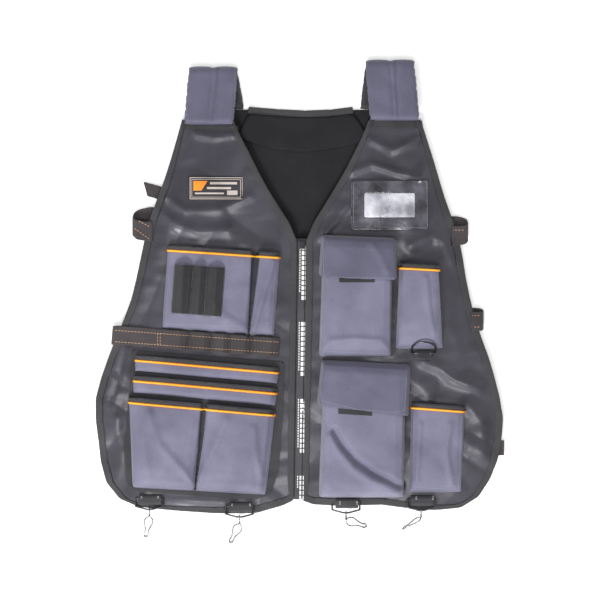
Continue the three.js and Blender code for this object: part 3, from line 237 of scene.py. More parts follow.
# %% [markdown]
# ## From a solid to a piece of cloth
# A solid has a few large flat faces. Its copy is first cut into triangles a few millimetres long, so
# that it can bend. Then its points are averaged with their neighbours a few times, which rounds the
# hard edges as turned-under cloth is round. Last the wrinkles move it. The copy stands for the solid.

# %% Cutting fine, rounding and wrinkling
dressed = {}
SAME_PLACE = 0.005 * MM
CUTS_AT_MOST = 9
UNDERSIDE = -0.5
UNDERSIDE_COARSER = 2.6


def allowed(edge, longest):
    """How long an edge may stay: longer where all its faces look down at the table."""
    seen = any(face.normal.z > UNDERSIDE for face in edge.link_faces)
    return longest if seen else longest * UNDERSIDE_COARSER


def cut_fine(shape, longest):
    """Splits long edges, less finely on the undersides that nobody sees, and leaves triangles."""
    bmesh.ops.remove_doubles(shape, verts=shape.verts, dist=SAME_PLACE)
    for _ in range(CUTS_AT_MOST):
        shape.normal_update()
        long_edges = [edge for edge in shape.edges if edge.calc_length() > allowed(edge, longest)]
        if not long_edges:
            break
        bmesh.ops.subdivide_edges(shape, edges=long_edges, cuts=1, use_grid_fill=True)
        bmesh.ops.triangulate(shape, faces=[face for face in shape.faces if len(face.verts) > 3])


def rounded(points, edges, times):
    """Points averaged with their neighbours, a number of times."""
    count = np.bincount(edges.ravel(), minlength=len(points)).astype(float)[:, None]
    for _ in range(times):
        total = np.zeros_like(points)
        for axis in range(3):
            total[:, axis] = (np.bincount(edges[:, 0], points[edges[:, 1], axis], len(points))
                              + np.bincount(edges[:, 1], points[edges[:, 0], axis], len(points)))
        points = points * 0.5 + 0.5 * total / count
    return points


def points_of(mesh):
    """A mesh's points as an array."""
    flat = np.empty(len(mesh.vertices) * 3)
    mesh.vertices.foreach_get("co", flat)
    return flat.reshape(-1, 3)


def set_points(mesh, points):
    """Puts an array of points back into a mesh."""
    mesh.vertices.foreach_set("co", points.astype(np.float32).ravel())
    mesh.update()


ROUND_CORNERS = {"upper_flap": 8, "lower_flap": 7, "upper_flap_pocket": 6, "lower_flap_pocket": 5}


def round_corners(points, radius):
    """The two lower corners of a flap or a pocket, drawn in to a radius in metres."""
    low, high = points.min(axis=0), points.max(axis=0)
    rounder = points.copy()
    for side, edge in ((-1, low[0]), (1, high[0])):
        at_edge = points[np.abs(points[:, 0] - edge) < radius]
        middle = np.array([edge - side * radius, at_edge[:, 1].min() + radius])
        away = rounder[:, :2] - middle
        far = np.linalg.norm(away, axis=1)
        outside = (away[:, 0] * side > 0) & (away[:, 1] < 0) & (far > radius)
        rounder[outside, :2] = middle + away[outside] * (radius / far[outside])[:, None]
    return rounder


print("corners to round, mm:", ROUND_CORNERS)

# %% [markdown]
# A piece made here gets its finish, rides on the vest's one body, and hides the solids it stands for.
# A small thing stands for none.

# %% Making a piece
def new_piece(name, mesh, finish, replaced=()):
    """A piece of the vest: it has a finish, moves with the vest and stands for solids."""
    piece = bpy.data.objects.new(name, mesh)
    bpy.context.scene.collection.objects.link(piece)
    mesh.materials.clear()
    mesh.materials.append(finish)
    mesh.polygons.foreach_set("use_smooth", [True] * len(mesh.polygons))
    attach(piece, "root")
    if replaced:
        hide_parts(*replaced)
    return piece


def built(name, points, faces, finish):
    """A piece made of points in metres and faces, which stands for no solid."""
    mesh = bpy.data.meshes.new(name)
    mesh.from_pydata(points, [], faces)
    return new_piece(name, mesh, finish)


def dress(node, finish, longest, rounds, wrinkled=True, swell=0.0):
    """A fine, rounded and wrinkled copy of a solid, which stands for it."""
    shape = bmesh.new()
    shape.from_mesh(frame["nodes"][node].data)
    cut_fine(shape, longest * MM)
    name = node + ("_cloth" if wrinkled else "_round")
    mesh = bpy.data.meshes.new(name)
    shape.to_mesh(mesh)
    shape.free()
    edges = np.empty(len(mesh.edges) * 2, int)
    mesh.edges.foreach_get("vertices", edges)
    points = rounded(points_of(mesh), edges.reshape(-1, 2), rounds)
    if node in ROUND_CORNERS:
        points = round_corners(points, ROUND_CORNERS[node] * MM)
    if wrinkled:
        points[:, 2] += fold_height(points) + crease_height(points)
    set_points(mesh, points)
    if swell:
        normals = np.empty(len(mesh.vertices) * 3)
        mesh.vertices.foreach_get("normal", normals)
        set_points(mesh, points + normals.reshape(-1, 3) * swell * MM)
    piece = new_piece(name, mesh, finish, [node])
    dressed[node] = piece


print("pieces so far:", len(dressed), "of", len(frame["nodes"]))

# %% [markdown]
# ## Finishes
# Every finish is a small tree of nodes on one shader. Its pattern is placed by the row frame's own
# metres, so it has its real size, and it needs no unwrapped picture. Woven cloth is two crossing
# sets of fine bands for the threads, a fine noise for the fibres, and a broad one for wear. Each row
# of the table is a cloth: name, dark and light tone, the thread's pitch and the weave's depth in
# millimetres, roughness, sheen and, for some, a coat and the threads' turn in degrees.

# %% The woven cloths
SHEEN_ROUGHNESS = 0.45
COAT_ROUGHNESS = 0.25
DARK_FROM, LIGHT_FROM = 0.32, 0.68
GRAIN_SCALE, GRAIN_SHARE = 900, 0.28
WEAR_SPOT = 0.05
FIBRE_SCALE = 420
THREAD_UNEVEN = 0.6
WEAVE_STRENGTH = 0.5


def start_finish(name, roughness, sheen=0.0, coat=0.0, metallic=0.0):
    """A new material, its nodes, its links and its shader."""
    material = bpy.data.materials.new(name)
    material.use_nodes = True
    shader = material.node_tree.nodes["Principled BSDF"]
    shader.inputs["Roughness"].default_value = roughness
    shader.inputs["Metallic"].default_value = metallic
    shader.inputs["Sheen Weight"].default_value = sheen
    shader.inputs["Sheen Roughness"].default_value = SHEEN_ROUGHNESS
    shader.inputs["Coat Weight"].default_value = coat
    shader.inputs["Coat Roughness"].default_value = COAT_ROUGHNESS
    return material, material.node_tree.nodes, material.node_tree.links, shader


def mottled(nodes, links, shader, place, dark, light, size):
    """Two tones of the colour, in soft spots of a size in metres, with a fine grain over them."""
    broad = nodes.new("ShaderNodeTexNoise")
    broad.inputs["Scale"].default_value = 1 / size
    broad.inputs["Detail"].default_value = 5
    tones = nodes.new("ShaderNodeValToRGB")
    tones.color_ramp.elements[0].position = DARK_FROM
    tones.color_ramp.elements[1].position = LIGHT_FROM
    tones.color_ramp.elements[0].color = (*dark, 1)
    tones.color_ramp.elements[1].color = (*light, 1)
    grain = nodes.new("ShaderNodeTexNoise")
    grain.inputs["Scale"].default_value = GRAIN_SCALE
    grain.inputs["Detail"].default_value = 2
    speckle = nodes.new("ShaderNodeMix")
    speckle.data_type, speckle.blend_type = "RGBA", "OVERLAY"
    speckle.inputs["Factor"].default_value = GRAIN_SHARE
    links.new(place, broad.inputs["Vector"])
    links.new(place, grain.inputs["Vector"])
    links.new(broad.outputs["Fac"], tones.inputs["Fac"])
    links.new(tones.outputs["Color"], speckle.inputs["A"])
    links.new(grain.outputs["Fac"], speckle.inputs["B"])
    links.new(speckle.outputs["Result"], shader.inputs["Base Color"])


def woven(name, dark, light, thread, depth, roughness, sheen, coat=0.0, turn=0.0):
    """A woven cloth: thread is the thread's pitch in millimetres, depth the weave's in millimetres."""
    material, nodes, links, shader = start_finish(name, roughness, sheen, coat)
    place = nodes.new("ShaderNodeTexCoord").outputs["Object"]
    mottled(nodes, links, shader, place, dark, light, WEAR_SPOT)
    turned = nodes.new("ShaderNodeMapping")
    turned.inputs["Rotation"].default_value = (0, 0, math.radians(turn))
    links.new(place, turned.inputs["Vector"])
    heights = []
    for direction in ("X", "Y"):
        bands = nodes.new("ShaderNodeTexWave")
        bands.bands_direction = direction
        bands.inputs["Scale"].default_value = math.pi / 10 / (thread * MM)
        bands.inputs["Distortion"].default_value = THREAD_UNEVEN
        links.new(turned.outputs["Vector"], bands.inputs["Vector"])
        heights.append(bands.outputs["Fac"])
    weave = nodes.new("ShaderNodeMath")
    weave.operation = "MULTIPLY"
    links.new(heights[0], weave.inputs[0])
    links.new(heights[1], weave.inputs[1])
    fibres = nodes.new("ShaderNodeTexNoise")
    fibres.inputs["Scale"].default_value = FIBRE_SCALE
    fibres.inputs["Detail"].default_value = 4
    links.new(place, fibres.inputs["Vector"])
    both = nodes.new("ShaderNodeMath")
    both.operation = "ADD"
    links.new(weave.outputs[0], both.inputs[0])
    links.new(fibres.outputs["Fac"], both.inputs[1])
    bump = nodes.new("ShaderNodeBump")
    bump.inputs["Strength"].default_value = WEAVE_STRENGTH
    bump.inputs["Distance"].default_value = depth * MM
    links.new(both.outputs[0], bump.inputs["Height"])
    links.new(bump.outputs["Normal"], shader.inputs["Normal"])
    return material


CLOTHS = {
    "panel": ("coated_charcoal_cloth", (0.018, 0.017, 0.0225), (0.038, 0.036, 0.0455),
              0.7, 0.2, 0.38, 0.2, 0.38),
    "mesh": ("black_spacer_mesh", (0.0025, 0.0025, 0.004), (0.0085, 0.0083, 0.0115), 2.2, 0.9, 0.85, 0.05),
    "binding": ("grey_binding_tape", (0.026, 0.025, 0.028), (0.040, 0.039, 0.043), 0.9, 0.3, 0.66, 0.2),
    "pocket": ("grey_violet_cloth", (0.120, 0.117, 0.178), (0.180, 0.174, 0.258),
               0.8, 0.3, 0.55, 0.3, 0.0, 8),
    # The pleats' dark strip: painted shade in the tucks.
    "fold": ("pleat_fold_cloth", (0.022, 0.021, 0.034), (0.036, 0.034, 0.053), 0.8, 0.3, 0.7, 0.1, 0.0, 8),
    # The pocket's violet cloth again, painted darker: painted shade on the shoulder pads and the flaps, which
    # face away from the light.
    "shaded": ("shaded_violet_cloth", (0.080, 0.078, 0.124), (0.115, 0.111, 0.172),
               0.8, 0.3, 0.6, 0.25, 0.0, 8),
    "piping": ("orange_piping", (0.72, 0.16, 0.012), (0.80, 0.22, 0.018), 0.8, 0.3, 0.6, 0.1),
    # The core is made yellower than the orange piping strip under it: painted highlight along the piping's
    # round top.
    "cord": ("yellow_piping_cord", (0.92, 0.43, 0.010), (0.97, 0.54, 0.022), 0.8, 0.2, 0.5, 0.0),
    "webbing": ("brown_grey_webbing", (0.028, 0.022, 0.024), (0.050, 0.040, 0.043), 1.6, 0.6, 0.7, 0.25),
    "elastic": ("black_elastic", (0.008, 0.008, 0.010), (0.022, 0.022, 0.026), 1.2, 0.7, 0.6, 0.3),
    "backing": ("black_backing_cloth", (0.014, 0.013, 0.017), (0.026, 0.025, 0.031), 0.9, 0.3, 0.6, 0.25),
    "tape": ("grey_zip_tape", (0.040, 0.038, 0.046), (0.062, 0.060, 0.069), 0.8, 0.3, 0.7, 0.2),
    "label": ("woven_patch", (0.012, 0.012, 0.016), (0.022, 0.021, 0.028), 0.5, 0.2, 0.6, 0.2),
    "pale_thread": ("pale_thread", (0.42, 0.36, 0.33), (0.62, 0.55, 0.50), 0.4, 0.1, 0.6, 0.2),
    "tan_thread": ("tan_thread", (0.50, 0.25, 0.13), (0.72, 0.45, 0.26), 0.4, 0.1, 0.6, 0.2),
    "seam_thread": ("grey_violet_thread", (0.26, 0.25, 0.34), (0.34, 0.33, 0.43), 0.4, 0.1, 0.6, 0.2),
    "dark_thread": ("dark_thread", (0.012, 0.012, 0.015), (0.022, 0.022, 0.026), 0.4, 0.1, 0.6, 0.2),
    "white_print": ("white_print", (0.70, 0.70, 0.70), (0.84, 0.84, 0.84), 0.4, 0.05, 0.5, 0.0),
    "orange_print": ("orange_print", (0.88, 0.22, 0.012), (0.95, 0.36, 0.02), 0.4, 0.1, 0.5, 0.1),
}
FINISH = {name: woven(*row) for name, row in CLOTHS.items()}
panel_shader = FINISH["panel"].node_tree.nodes["Principled BSDF"]
panel_shader.inputs["Specular Tint"].default_value = (0.93, 0.90, 1.0, 1)
panel_shader.inputs["Coat Tint"].default_value = (0.95, 0.93, 1.0, 1)
print("cloths:", sorted(FINISH))

# %% [markdown]
# Shiny vinyl and wire are smoother, so almost all that is seen of them is the light. A little noise
# in the roughness keeps them from looking new. A row gives the name, the two tones, the roughness,
# how metallic it is, its coat, how uneven the roughness is and, for a film, the ripples in millimetres.

# %% The vinyl and the wire
RIPPLE_SCALE, RIPPLE_UNEVEN = 34, 0.8
# The size of the two tones' soft spots; on the black vinyl the lighter spots are painted sheen.
SMEAR_AND_SHEEN_SPOT, SMEAR_SCALE = 0.022, 160
SMOOTHEST = 0.03


def polished(name, dark, light, roughness, metallic, coat, spread, ripple=0.0):
    """A shiny finish with two tones, uneven roughness and, where it is a film, slow ripples."""
    material, nodes, links, shader = start_finish(name, roughness, 0.0, coat, metallic)
    place = nodes.new("ShaderNodeTexCoord").outputs["Object"]
    mottled(nodes, links, shader, place, dark, light, SMEAR_AND_SHEEN_SPOT)
    if ripple:
        waves = nodes.new("ShaderNodeTexNoise")
        waves.inputs["Scale"].default_value = RIPPLE_SCALE
        waves.inputs["Distortion"].default_value = RIPPLE_UNEVEN
        links.new(place, waves.inputs["Vector"])
        bump = nodes.new("ShaderNodeBump")
        bump.inputs["Strength"].default_value = 1.0
        bump.inputs["Distance"].default_value = ripple * MM
        links.new(waves.outputs["Fac"], bump.inputs["Height"])
        links.new(bump.outputs["Normal"], shader.inputs["Normal"])
    smears = nodes.new("ShaderNodeTexNoise")
    smears.inputs["Scale"].default_value = SMEAR_SCALE
    smears.inputs["Detail"].default_value = 6
    links.new(place, smears.inputs["Vector"])
    uneven = nodes.new("ShaderNodeMapRange")
    uneven.inputs["To Min"].default_value = max(roughness - spread, SMOOTHEST)
    uneven.inputs["To Max"].default_value = roughness + spread
    links.new(smears.outputs["Fac"], uneven.inputs["Value"])
    links.new(uneven.outputs["Result"], shader.inputs["Roughness"])
    return material


SHINY = {
    # On the black vinyl the light tone's broad spots are painted sheen, standing for its glossy reflections.
    "glossy": ("black_vinyl", (0.010, 0.010, 0.013), (0.105, 0.100, 0.125), 0.20, 0.0, 0.7, 0.06, 3.0),
    # The window's wide spread of tones is partly its pale contents and partly painted reflection.
    "clear": ("clear_window", (0.20, 0.20, 0.24), (0.72, 0.72, 0.79), 0.15, 0.0, 0.8, 0.05, 2.0),
    "wire": ("nickel_wire", (0.14, 0.14, 0.15), (0.26, 0.26, 0.28), 0.3, 1.0, 0.0, 0.12),
    "dark_wire": ("gunmetal_wire", (0.035, 0.035, 0.040), (0.07, 0.07, 0.075), 0.3, 0.8, 0.2, 0.1),
}
FINISH.update({name: polished(*row) for name, row in SHINY.items()})
print("finishes:", len(FINISH))

# %% [markdown]
# ## Dressing the solids
# Large plain pieces can have longer triangles than small rounded ones. Each row is a slot of the
# record, whose finish has the same name: the longest edge in millimetres, and how often the points
# are averaged. The two pleated pockets are cut finer. Wires stay smooth, and swell a little to make up
# for what the averaging takes off them.

# %% All the cloth
FINE = {
    "panel": {"longest": 3.9, "rounds": 2},
    "mesh": {"longest": 9.0, "rounds": 1},
    "binding": {"longest": 3.8, "rounds": 2},
    "pocket": {"longest": 3.2, "rounds": 3},
    "piping": {"longest": 1.4, "rounds": 2},
    "webbing": {"longest": 2.4, "rounds": 1},
    "elastic": {"longest": 2.6, "rounds": 2},
    "tape": {"longest": 6.0, "rounds": 0},
    "label": {"longest": 3.0, "rounds": 1},
    "glossy": {"longest": 4.0, "rounds": 1},
    "clear": {"longest": 2.0, "rounds": 1},
    "wire": {"longest": 1.1, "rounds": 4},
}
PLEATED = {"chest_pocket": 2.7, "tier_pocket_3": 3.0}
WIRE_SWELL = 0.1
HOOKS = (1, 2, 3, 4)
SHOULDER_PADS = ["shoulder_pad_left", "shoulder_pad_right"]
OTHER_FINISH = {
    "backing": ["pocket_backing", "d_ring_tab"] + [f"hook_tab_{number}" for number in HOOKS],
    # The pads and flaps take the darker copy of the pocket cloth, which is painted shade.
    "shaded": SHOULDER_PADS + ["upper_flap", "lower_flap"],
    "dark_wire": ["d_ring", "zipper_slider"] + [f"hook_ring_{number}" for number in HOOKS],
}
PAD_UNDERSIDE = 9 * MM
slot_of = {part["node"]: part["material_slot"] for part in frame["record"]["subparts"]}
for node, slot in slot_of.items():
    hard = slot == "wire"
    longest = PLEATED.get(node, FINE[slot]["longest"])
    dress(node, FINISH[slot], longest, FINE[slot]["rounds"], not hard, WIRE_SWELL if hard else 0.0)
for finish, nodes in OTHER_FINISH.items():
    for node in nodes:
        dressed[node].data.materials[0] = FINISH[finish]
for node in SHOULDER_PADS:
    pad = dressed[node].data
    pad.materials.append(FINISH["backing"])
    below = [int(face.center.z < PAD_UNDERSIDE) for face in pad.polygons]
    pad.polygons.foreach_set("material_index", below)
print("dressed:", len(dressed), "triangles:", sum(len(piece.data.polygons) for piece in dressed.values()))

# %% [markdown]


# %% [markdown]
# ## Laying small things on the cloth
# Stitches, prints and narrow bands lie on surfaces that are already wrinkled. A ray from above finds
# the cloth's height at a place, so each small thing follows every fold under it.

# %% Finding the cloth from above
bpy.context.view_layer.update()
depsgraph = bpy.context.evaluated_depsgraph_get()
skins = {}
ABOVE_ALL = 0.3


def height_at(x, y, nodes):
    """How high the top of these dressed pieces is at a place, or None beside them."""
    best = None
    for node in nodes:
        if node not in skins:
            skins[node] = BVHTree.FromObject(dressed[node], depsgraph)
        hit = skins[node].ray_cast(Vector((x, y, ABOVE_ALL)), Vector((0, 0, -1)))[0]
        if hit is not None and (best is None or hit.z > best):
            best = hit.z
    return best


print("height of the left panel below the label:", height_at(*on_table(200, 230), ["front_panel_left"]))

# %% [markdown]
# A stitch is a short thread that dips into the cloth at both ends. Each row is walked along its line
# of pixels, and all rows of one thread become one mesh of small four-sided spindles. A spindle is a
# few rings, each at a share of the stitch's length and with a share of its thickness.

# %% Rows of stitches
SPINDLE = ((0, 0.35), (0.25, 1), (0.75, 1), (1, 0.35))
SPINDLE_RISE, SPINDLE_SINK = 0.25, 0.05
FACES_PER_STITCH = 14


def walk(line, pitch):
    """Points every pitch metres along a line of pixels."""
    corners = np.array([on_table(*pixel) for pixel in line])
    lengths = np.r_[0, np.cumsum(np.linalg.norm(np.diff(corners, axis=0), axis=1))]
    places = np.arange(0, lengths[-1] + pitch / 4, pitch)
    return np.stack([np.interp(places, lengths, corners[:, axis]) for axis in (0, 1)], axis=1)


def sew(name, finish, rows):
    """Rows of stitches: line in pixels, the pieces they lie on, stitch, gap and thickness in millimetres."""
    points, faces = [], []
    for row in rows:
        pitch = (row["stitch"] + row["gap"]) * MM
        stops = walk(row["line"], pitch)
        for start, run in zip(stops[:-1], np.diff(stops, axis=0)):
            run = run / np.linalg.norm(run)
            side = np.array([-run[1], run[0], 0]) * row["thick"] * MM / 2
            up = np.array([0, 0, row["thick"] * MM / 2])
            rings = []
            for share, fat in SPINDLE:
                place = start + run * row["stitch"] * MM * share
                height = height_at(place[0], place[1], row["on"])
                if height is None:
                    rings = []
                    break
                rise = (SPINDLE_RISE * row["thick"] * fat - SPINDLE_SINK) * MM
                middle = np.array([place[0], place[1], height + rise])
                rings.append([middle + side * fat, middle + up * fat, middle - side * fat, middle - up * fat])
            if not rings:
                continue
            first = len(points)
            points += [tuple(point) for ring in rings for point in ring]
            for ring in range(3):
                for corner in range(4):
                    a, b = first + ring * 4 + corner, first + ring * 4 + (corner + 1) % 4
                    faces.append((a, b, b + 4, a + 4))
            faces.append((first + 3, first + 2, first + 1, first))
            faces.append((first + 12, first + 13, first + 14, first + 15))
    built(name, points, faces, finish)
    print(name, "stitches:", len(faces) // FACES_PER_STITCH)


print("stops on 100 pixels, every 3 mm:", len(walk([(250, 300), (350, 300)], 3 * MM)))

# %% [markdown]
# A draped band is a thin slab over four corner pixels. Each of its points is dropped onto the cloth
# and lifted a little, so it lies like a label or a strip of tape.

# %% Draped bands
def drape(name, finish, patches, step=1.6):
    """Thin slabs on the cloth: four corner pixels, the pieces below, lift and thickness in millimetres."""
    points, faces = [], []
    for patch in patches:
        corners = [np.array(on_table(*pixel)) for pixel in patch["corners"]]
        low_left, low_right, top_right, top_left = corners
        across = max(2, int(np.linalg.norm(low_right - low_left) / (step * MM)) + 1)
        up = max(2, int(np.linalg.norm(top_left - low_left) / (step * MM)) + 1)
        first, size = len(points), (across + 1) * (up + 1)
        tops = []
        for v in np.linspace(0, 1, up + 1):
            for u in np.linspace(0, 1, across + 1):
                low_side, top_side = low_left * (1 - u) + low_right * u, top_left * (1 - u) + top_right * u
                x, y = low_side * (1 - v) + top_side * v
                tops.append((x, y, height_at(x, y, patch["on"])))
        known = [top[2] for top in tops if top[2] is not None]
        if not known:
            continue
        tops = [(x, y, min(known) if z is None else z) for x, y, z in tops]
        points += [(x, y, z + (patch["lift"] + patch["thick"]) * MM) for x, y, z in tops]
        points += [(x, y, z + patch["lift"] * MM) for x, y, z in tops]
        at = np.arange(first, first + size).reshape(up + 1, across + 1).tolist()
        for row, over in zip(at[:-1], at[1:]):
            for square in zip(row[:-1], row[1:], over[1:], over[:-1]):
                faces.append(square)
                faces.append(tuple(corner + size for corner in reversed(square)))
        rim = at[0][:-1] + [row[-1] for row in at[:-1]] + at[-1][:0:-1] + [row[0] for row in at[:0:-1]]
        for here, there in zip(rim, rim[1:] + rim[:1]):
            faces.append((here, here + size, there + size, there))
    piece = built(name, points, faces, finish)
    piece.data.polygons.foreach_set("use_smooth", [False] * len(faces))
    print(name, "faces:", len(faces))
    return piece


def bar(left, top, right, bottom):
    """A straight bar as four corner pixels."""
    return [(left, bottom), (right, bottom), (right, top), (left, top)]


def frame_lines(left, top, right, bottom, thick):
    """The four sides of a rectangular outline, each as four corner pixels."""
    return [bar(left, bottom - thick, right, bottom), bar(left, top, right, top + thick),
            bar(left, top, left + thick, bottom), bar(right - thick, top, right, bottom)]


print("corners of a bar:", bar(0, 0, 4, 1))

# %% [markdown]
# A round cord, such as the core of the piping, is a tube along a path on top of a dressed piece. The
# path is found by cutting the piece into short slices and taking the top middle of each.

# %% Round cords
def tube(name, finish, paths, radius, sides=8):
    """Closed round tubes along paths of points in metres."""
    points, faces = [], []
    for path in paths:
        path = np.array(path)
        runs = np.gradient(path, axis=0)
        runs /= np.linalg.norm(runs, axis=1)[:, None]
        first = len(points)
        for place, run in zip(path, runs):
            side = np.cross(run, (0, 0, 1))
            side /= np.linalg.norm(side)
            up = np.cross(side, run)
            for turn in np.arange(sides) * math.tau / sides:
                points.append(tuple(place + (side * math.cos(turn) + up * math.sin(turn)) * radius))
        for ring in range(len(path) - 1):
            for corner in range(sides):
                a, b = first + ring * sides + corner, first + ring * sides + (corner + 1) % sides
                faces.append((a, a + sides, b + sides, b))
        last = len(points) - sides
        faces += [tuple(range(first, first + sides)), tuple(reversed(range(last, last + sides)))]
    return built(name, points, faces, finish)


def top_path(node, pitch, sink):
    """The top middle of a long narrow piece, every pitch metres across the vest."""
    points = points_of(dressed[node].data)
    low, high = points[:, 0].min() + pitch / 2, points[:, 0].max() - pitch / 2
    path = []
    for x in np.arange(low, high, pitch):
        slice_points = points[np.abs(points[:, 0] - x) < pitch]
        if len(slice_points):
            path.append((x, slice_points[:, 1].mean(), slice_points[:, 2].max() - sink))
    return path


PIPED = ["chest_pocket_piping", "side_pocket_piping", "small_pocket_piping"]
PIPED += [f"tier_pocket_{number}_piping" for number in (1, 2, 3)]
CORD_PITCH, CORD_SINK, CORD_RADIUS = 2.5 * MM, 0.65 * MM, 1.15 * MM
cord_paths = [top_path(node, CORD_PITCH, CORD_SINK) for node in PIPED]
# The yellow core is painted highlight on top of the orange piping.
cores = tube("piping_cores", FINISH["cord"], cord_paths, CORD_RADIUS)
print("piping cores:", len(cores.data.polygons), "faces")

# %% [markdown]
# ## Stitches
# Seams show as rows of small bright or dark stitches. The pocket edges, the flaps and the card pouch
# have fine ones, the webbing has coarse tan ones, and the hook tabs have two pale bars each. Between the
# pen loops' tubes one thick dark stitch beside the next paints the shade in the gaps, and folds of the
# tool webbing are sewn down the same way. Stitch, gap and thickness are in millimetres.

# %% Sewing it all
seam = {"stitch": 2.4, "gap": 0.9, "thick": 0.5}
coarse = {"stitch": 3.0, "gap": 1.2, "thick": 0.8}
POCKET_SEAMS = {
    "chest_pocket": [[(170, 261), (165.5, 324), (243, 326.5)], [(278, 262), (273.5, 325)],
                     [(258, 326), (274, 326.5)]],
    "tier_pocket_3": [[(131, 404), (134, 486), (190, 488.5)], [(202, 489), (264.5, 491), (272, 413)]],
    "upper_flap_pocket": [[(323.5, 283), (323.5, 351), (386.5, 354)], [(390, 283), (388, 352)]],
    "lower_flap_pocket": [[(320.5, 405), (320, 494), (401, 497)], [(405, 416), (402, 494)]],
    "side_pocket": [[(399.5, 272), (399.5, 345)], [(430, 272), (434, 319), (439, 345)]],
    "small_pocket": [[(413.5, 412), (413.5, 487), (458, 489), (461.5, 414)]],
    "upper_flap": [[(323.5, 238), (323.5, 277), (395.5, 278.5), (395.5, 238)]],
    "lower_flap": [[(320.5, 365), (321.5, 400), (356, 408), (393, 411.5), (404, 409.5), (406.5, 368)]],
    "shoulder_pad_left": [[(184.5, 121), (236, 123.5)], [(189, 70), (186, 119)], [(235, 72), (235, 121)]],
    "shoulder_pad_right": [[(372, 118), (420.5, 118.5)], [(414, 64), (419, 117)]],
}
sew("pocket_stitches", FINISH["seam_thread"],
    [{"line": line, "on": [node], **seam} for node, lines in POCKET_SEAMS.items() for line in lines])
TAN_ROWS = {
    "tool_webbing": [[(115, 330.3), (157.4, 333.3), (280, 342.2)], [(115, 341.6), (157.4, 344.8), (280, 353)],
                     [(157.4, 333), (157.4, 346)], [(160.2, 333), (160.2, 346)]],
    "side_loop_left": [[(158, 231), (135, 219)], [(152, 241), (134, 228)]],
    "side_loop_right": [[(452, 230), (467, 230)]],
    "strap_tab_right": [[(471, 315.5), (483, 315.5)], [(471, 327), (483, 327)]],
    "strap_tab_low": [[(498, 443), (503, 443)]],
}
sew("webbing_stitches", FINISH["tan_thread"],
    [{"line": line, "on": [node], **coarse} for node, lines in TAN_ROWS.items() for line in lines])
# Painted shade: dark lines in the gaps between the pen loops' tubes.
sew("loop_folds", FINISH["dark_thread"],
    [{"line": line, "on": ["pen_loops"], "stitch": 4.5, "gap": 0.0, "thick": 1.4}
     for line in ([(194.4, 266), (190.8, 312)], [(208.6, 267), (205.4, 313)])])
sew("webbing_folds", FINISH["dark_thread"],
    [{"line": [(x, 324 + x / 18), (x - 0.6, 340 + x / 18)], "on": ["tool_webbing"],
      "stitch": 4, "gap": 0.0, "thick": 1.3}
     for x in (190.6, 212.9, 230.7, 253)])
TAB_BARS = {"hook_tab_1": [(141.8, 493, 499), (158.2, 493, 499)],
            "hook_tab_2": [(232.3, 500.5, 506), (250, 500.5, 506)],
            "hook_tab_3": [(339.8, 500.5, 505), (357, 500.5, 505)],
            "hook_tab_4": [(416.2, 494.5, 500), (432.8, 494.5, 500)]}
bars = [{"line": [(x + side, top), (x + side, low)], "on": [node], "stitch": 1.5, "gap": 0.2, "thick": 0.7}
        for node, marks in TAB_BARS.items() for x, top, low in marks for side in (-0.4, 0.4)]
bars += [{"line": [(x - 3, 353.4), (x + 3, 353.4)], "on": ["d_ring_tab"],
          "stitch": 1.6, "gap": 0.5, "thick": 0.6}
         for x in (416, 433)]
sew("tab_stitches", FINISH["pale_thread"], bars)
sew("card_stitches", FINISH["seam_thread"],
    [{"line": line, "on": ["card_holder"], "stitch": 2.2, "gap": 0.9, "thick": 0.7}
     for line in ([(353.6, 180.5), (353.6, 226.5), (427.5, 228)], [(426.5, 181), (427.8, 227)])])

# %% [markdown]
# ## The zip
# The zip is closed, with its coil as one smooth bead down the middle of the tape. White marks run along
# it; here they are plain blocks and dashes, in four groups, and each column leans as the zip does.
# Places and sizes of the marks are in pixels.

# %% Printed marks
TAPE_NODES = ["zipper_tape", "zipper_coil", "front_binding_left", "front_binding_right"]
printed = {"on": TAPE_NODES, "lift": 0.12, "thick": 0.15}
MARK_GROUPS = ((246, 300), (322, 377), (399, 454), (476, 497))
MARK_COLUMNS = [
    {"x": 303.9, "lean": 2.4, "half": 2.1, "tall": 3.9, "pitch": 5.0, "stop_early": 0},
    {"x": 300.1, "lean": 2.6, "half": 0.5, "tall": 1.7, "pitch": 2.6, "stop_early": 8},
]
ZIP_TOP, ZIP_LENGTH = 250, 240
blocks = []
for top, bottom in MARK_GROUPS:
    for column in MARK_COLUMNS:
        for y in np.arange(top, bottom - column["stop_early"], column["pitch"]):
            x = column["x"] - column["lean"] * (y - ZIP_TOP) / ZIP_LENGTH
            corners = bar(x - column["half"], y, x + column["half"], y + column["tall"])
            blocks.append({"corners": corners, **printed})
drape("zip_marks", FINISH["white_print"], blocks, step=1.2)

# %% [markdown]
# ## Patch, pad ends and hook-and-loop
# The woven patch has a double pale border, an orange block and bars in place of a design. Under each
# shoulder pad's front end a dark binding band shows, and under each flap a black strip of hook-and-loop
# that also paints the shade under the flap's edge. In each pleat a narrow strip of dark cloth is painted
# shade, standing for the shade of the tuck. Corners are in pixels.

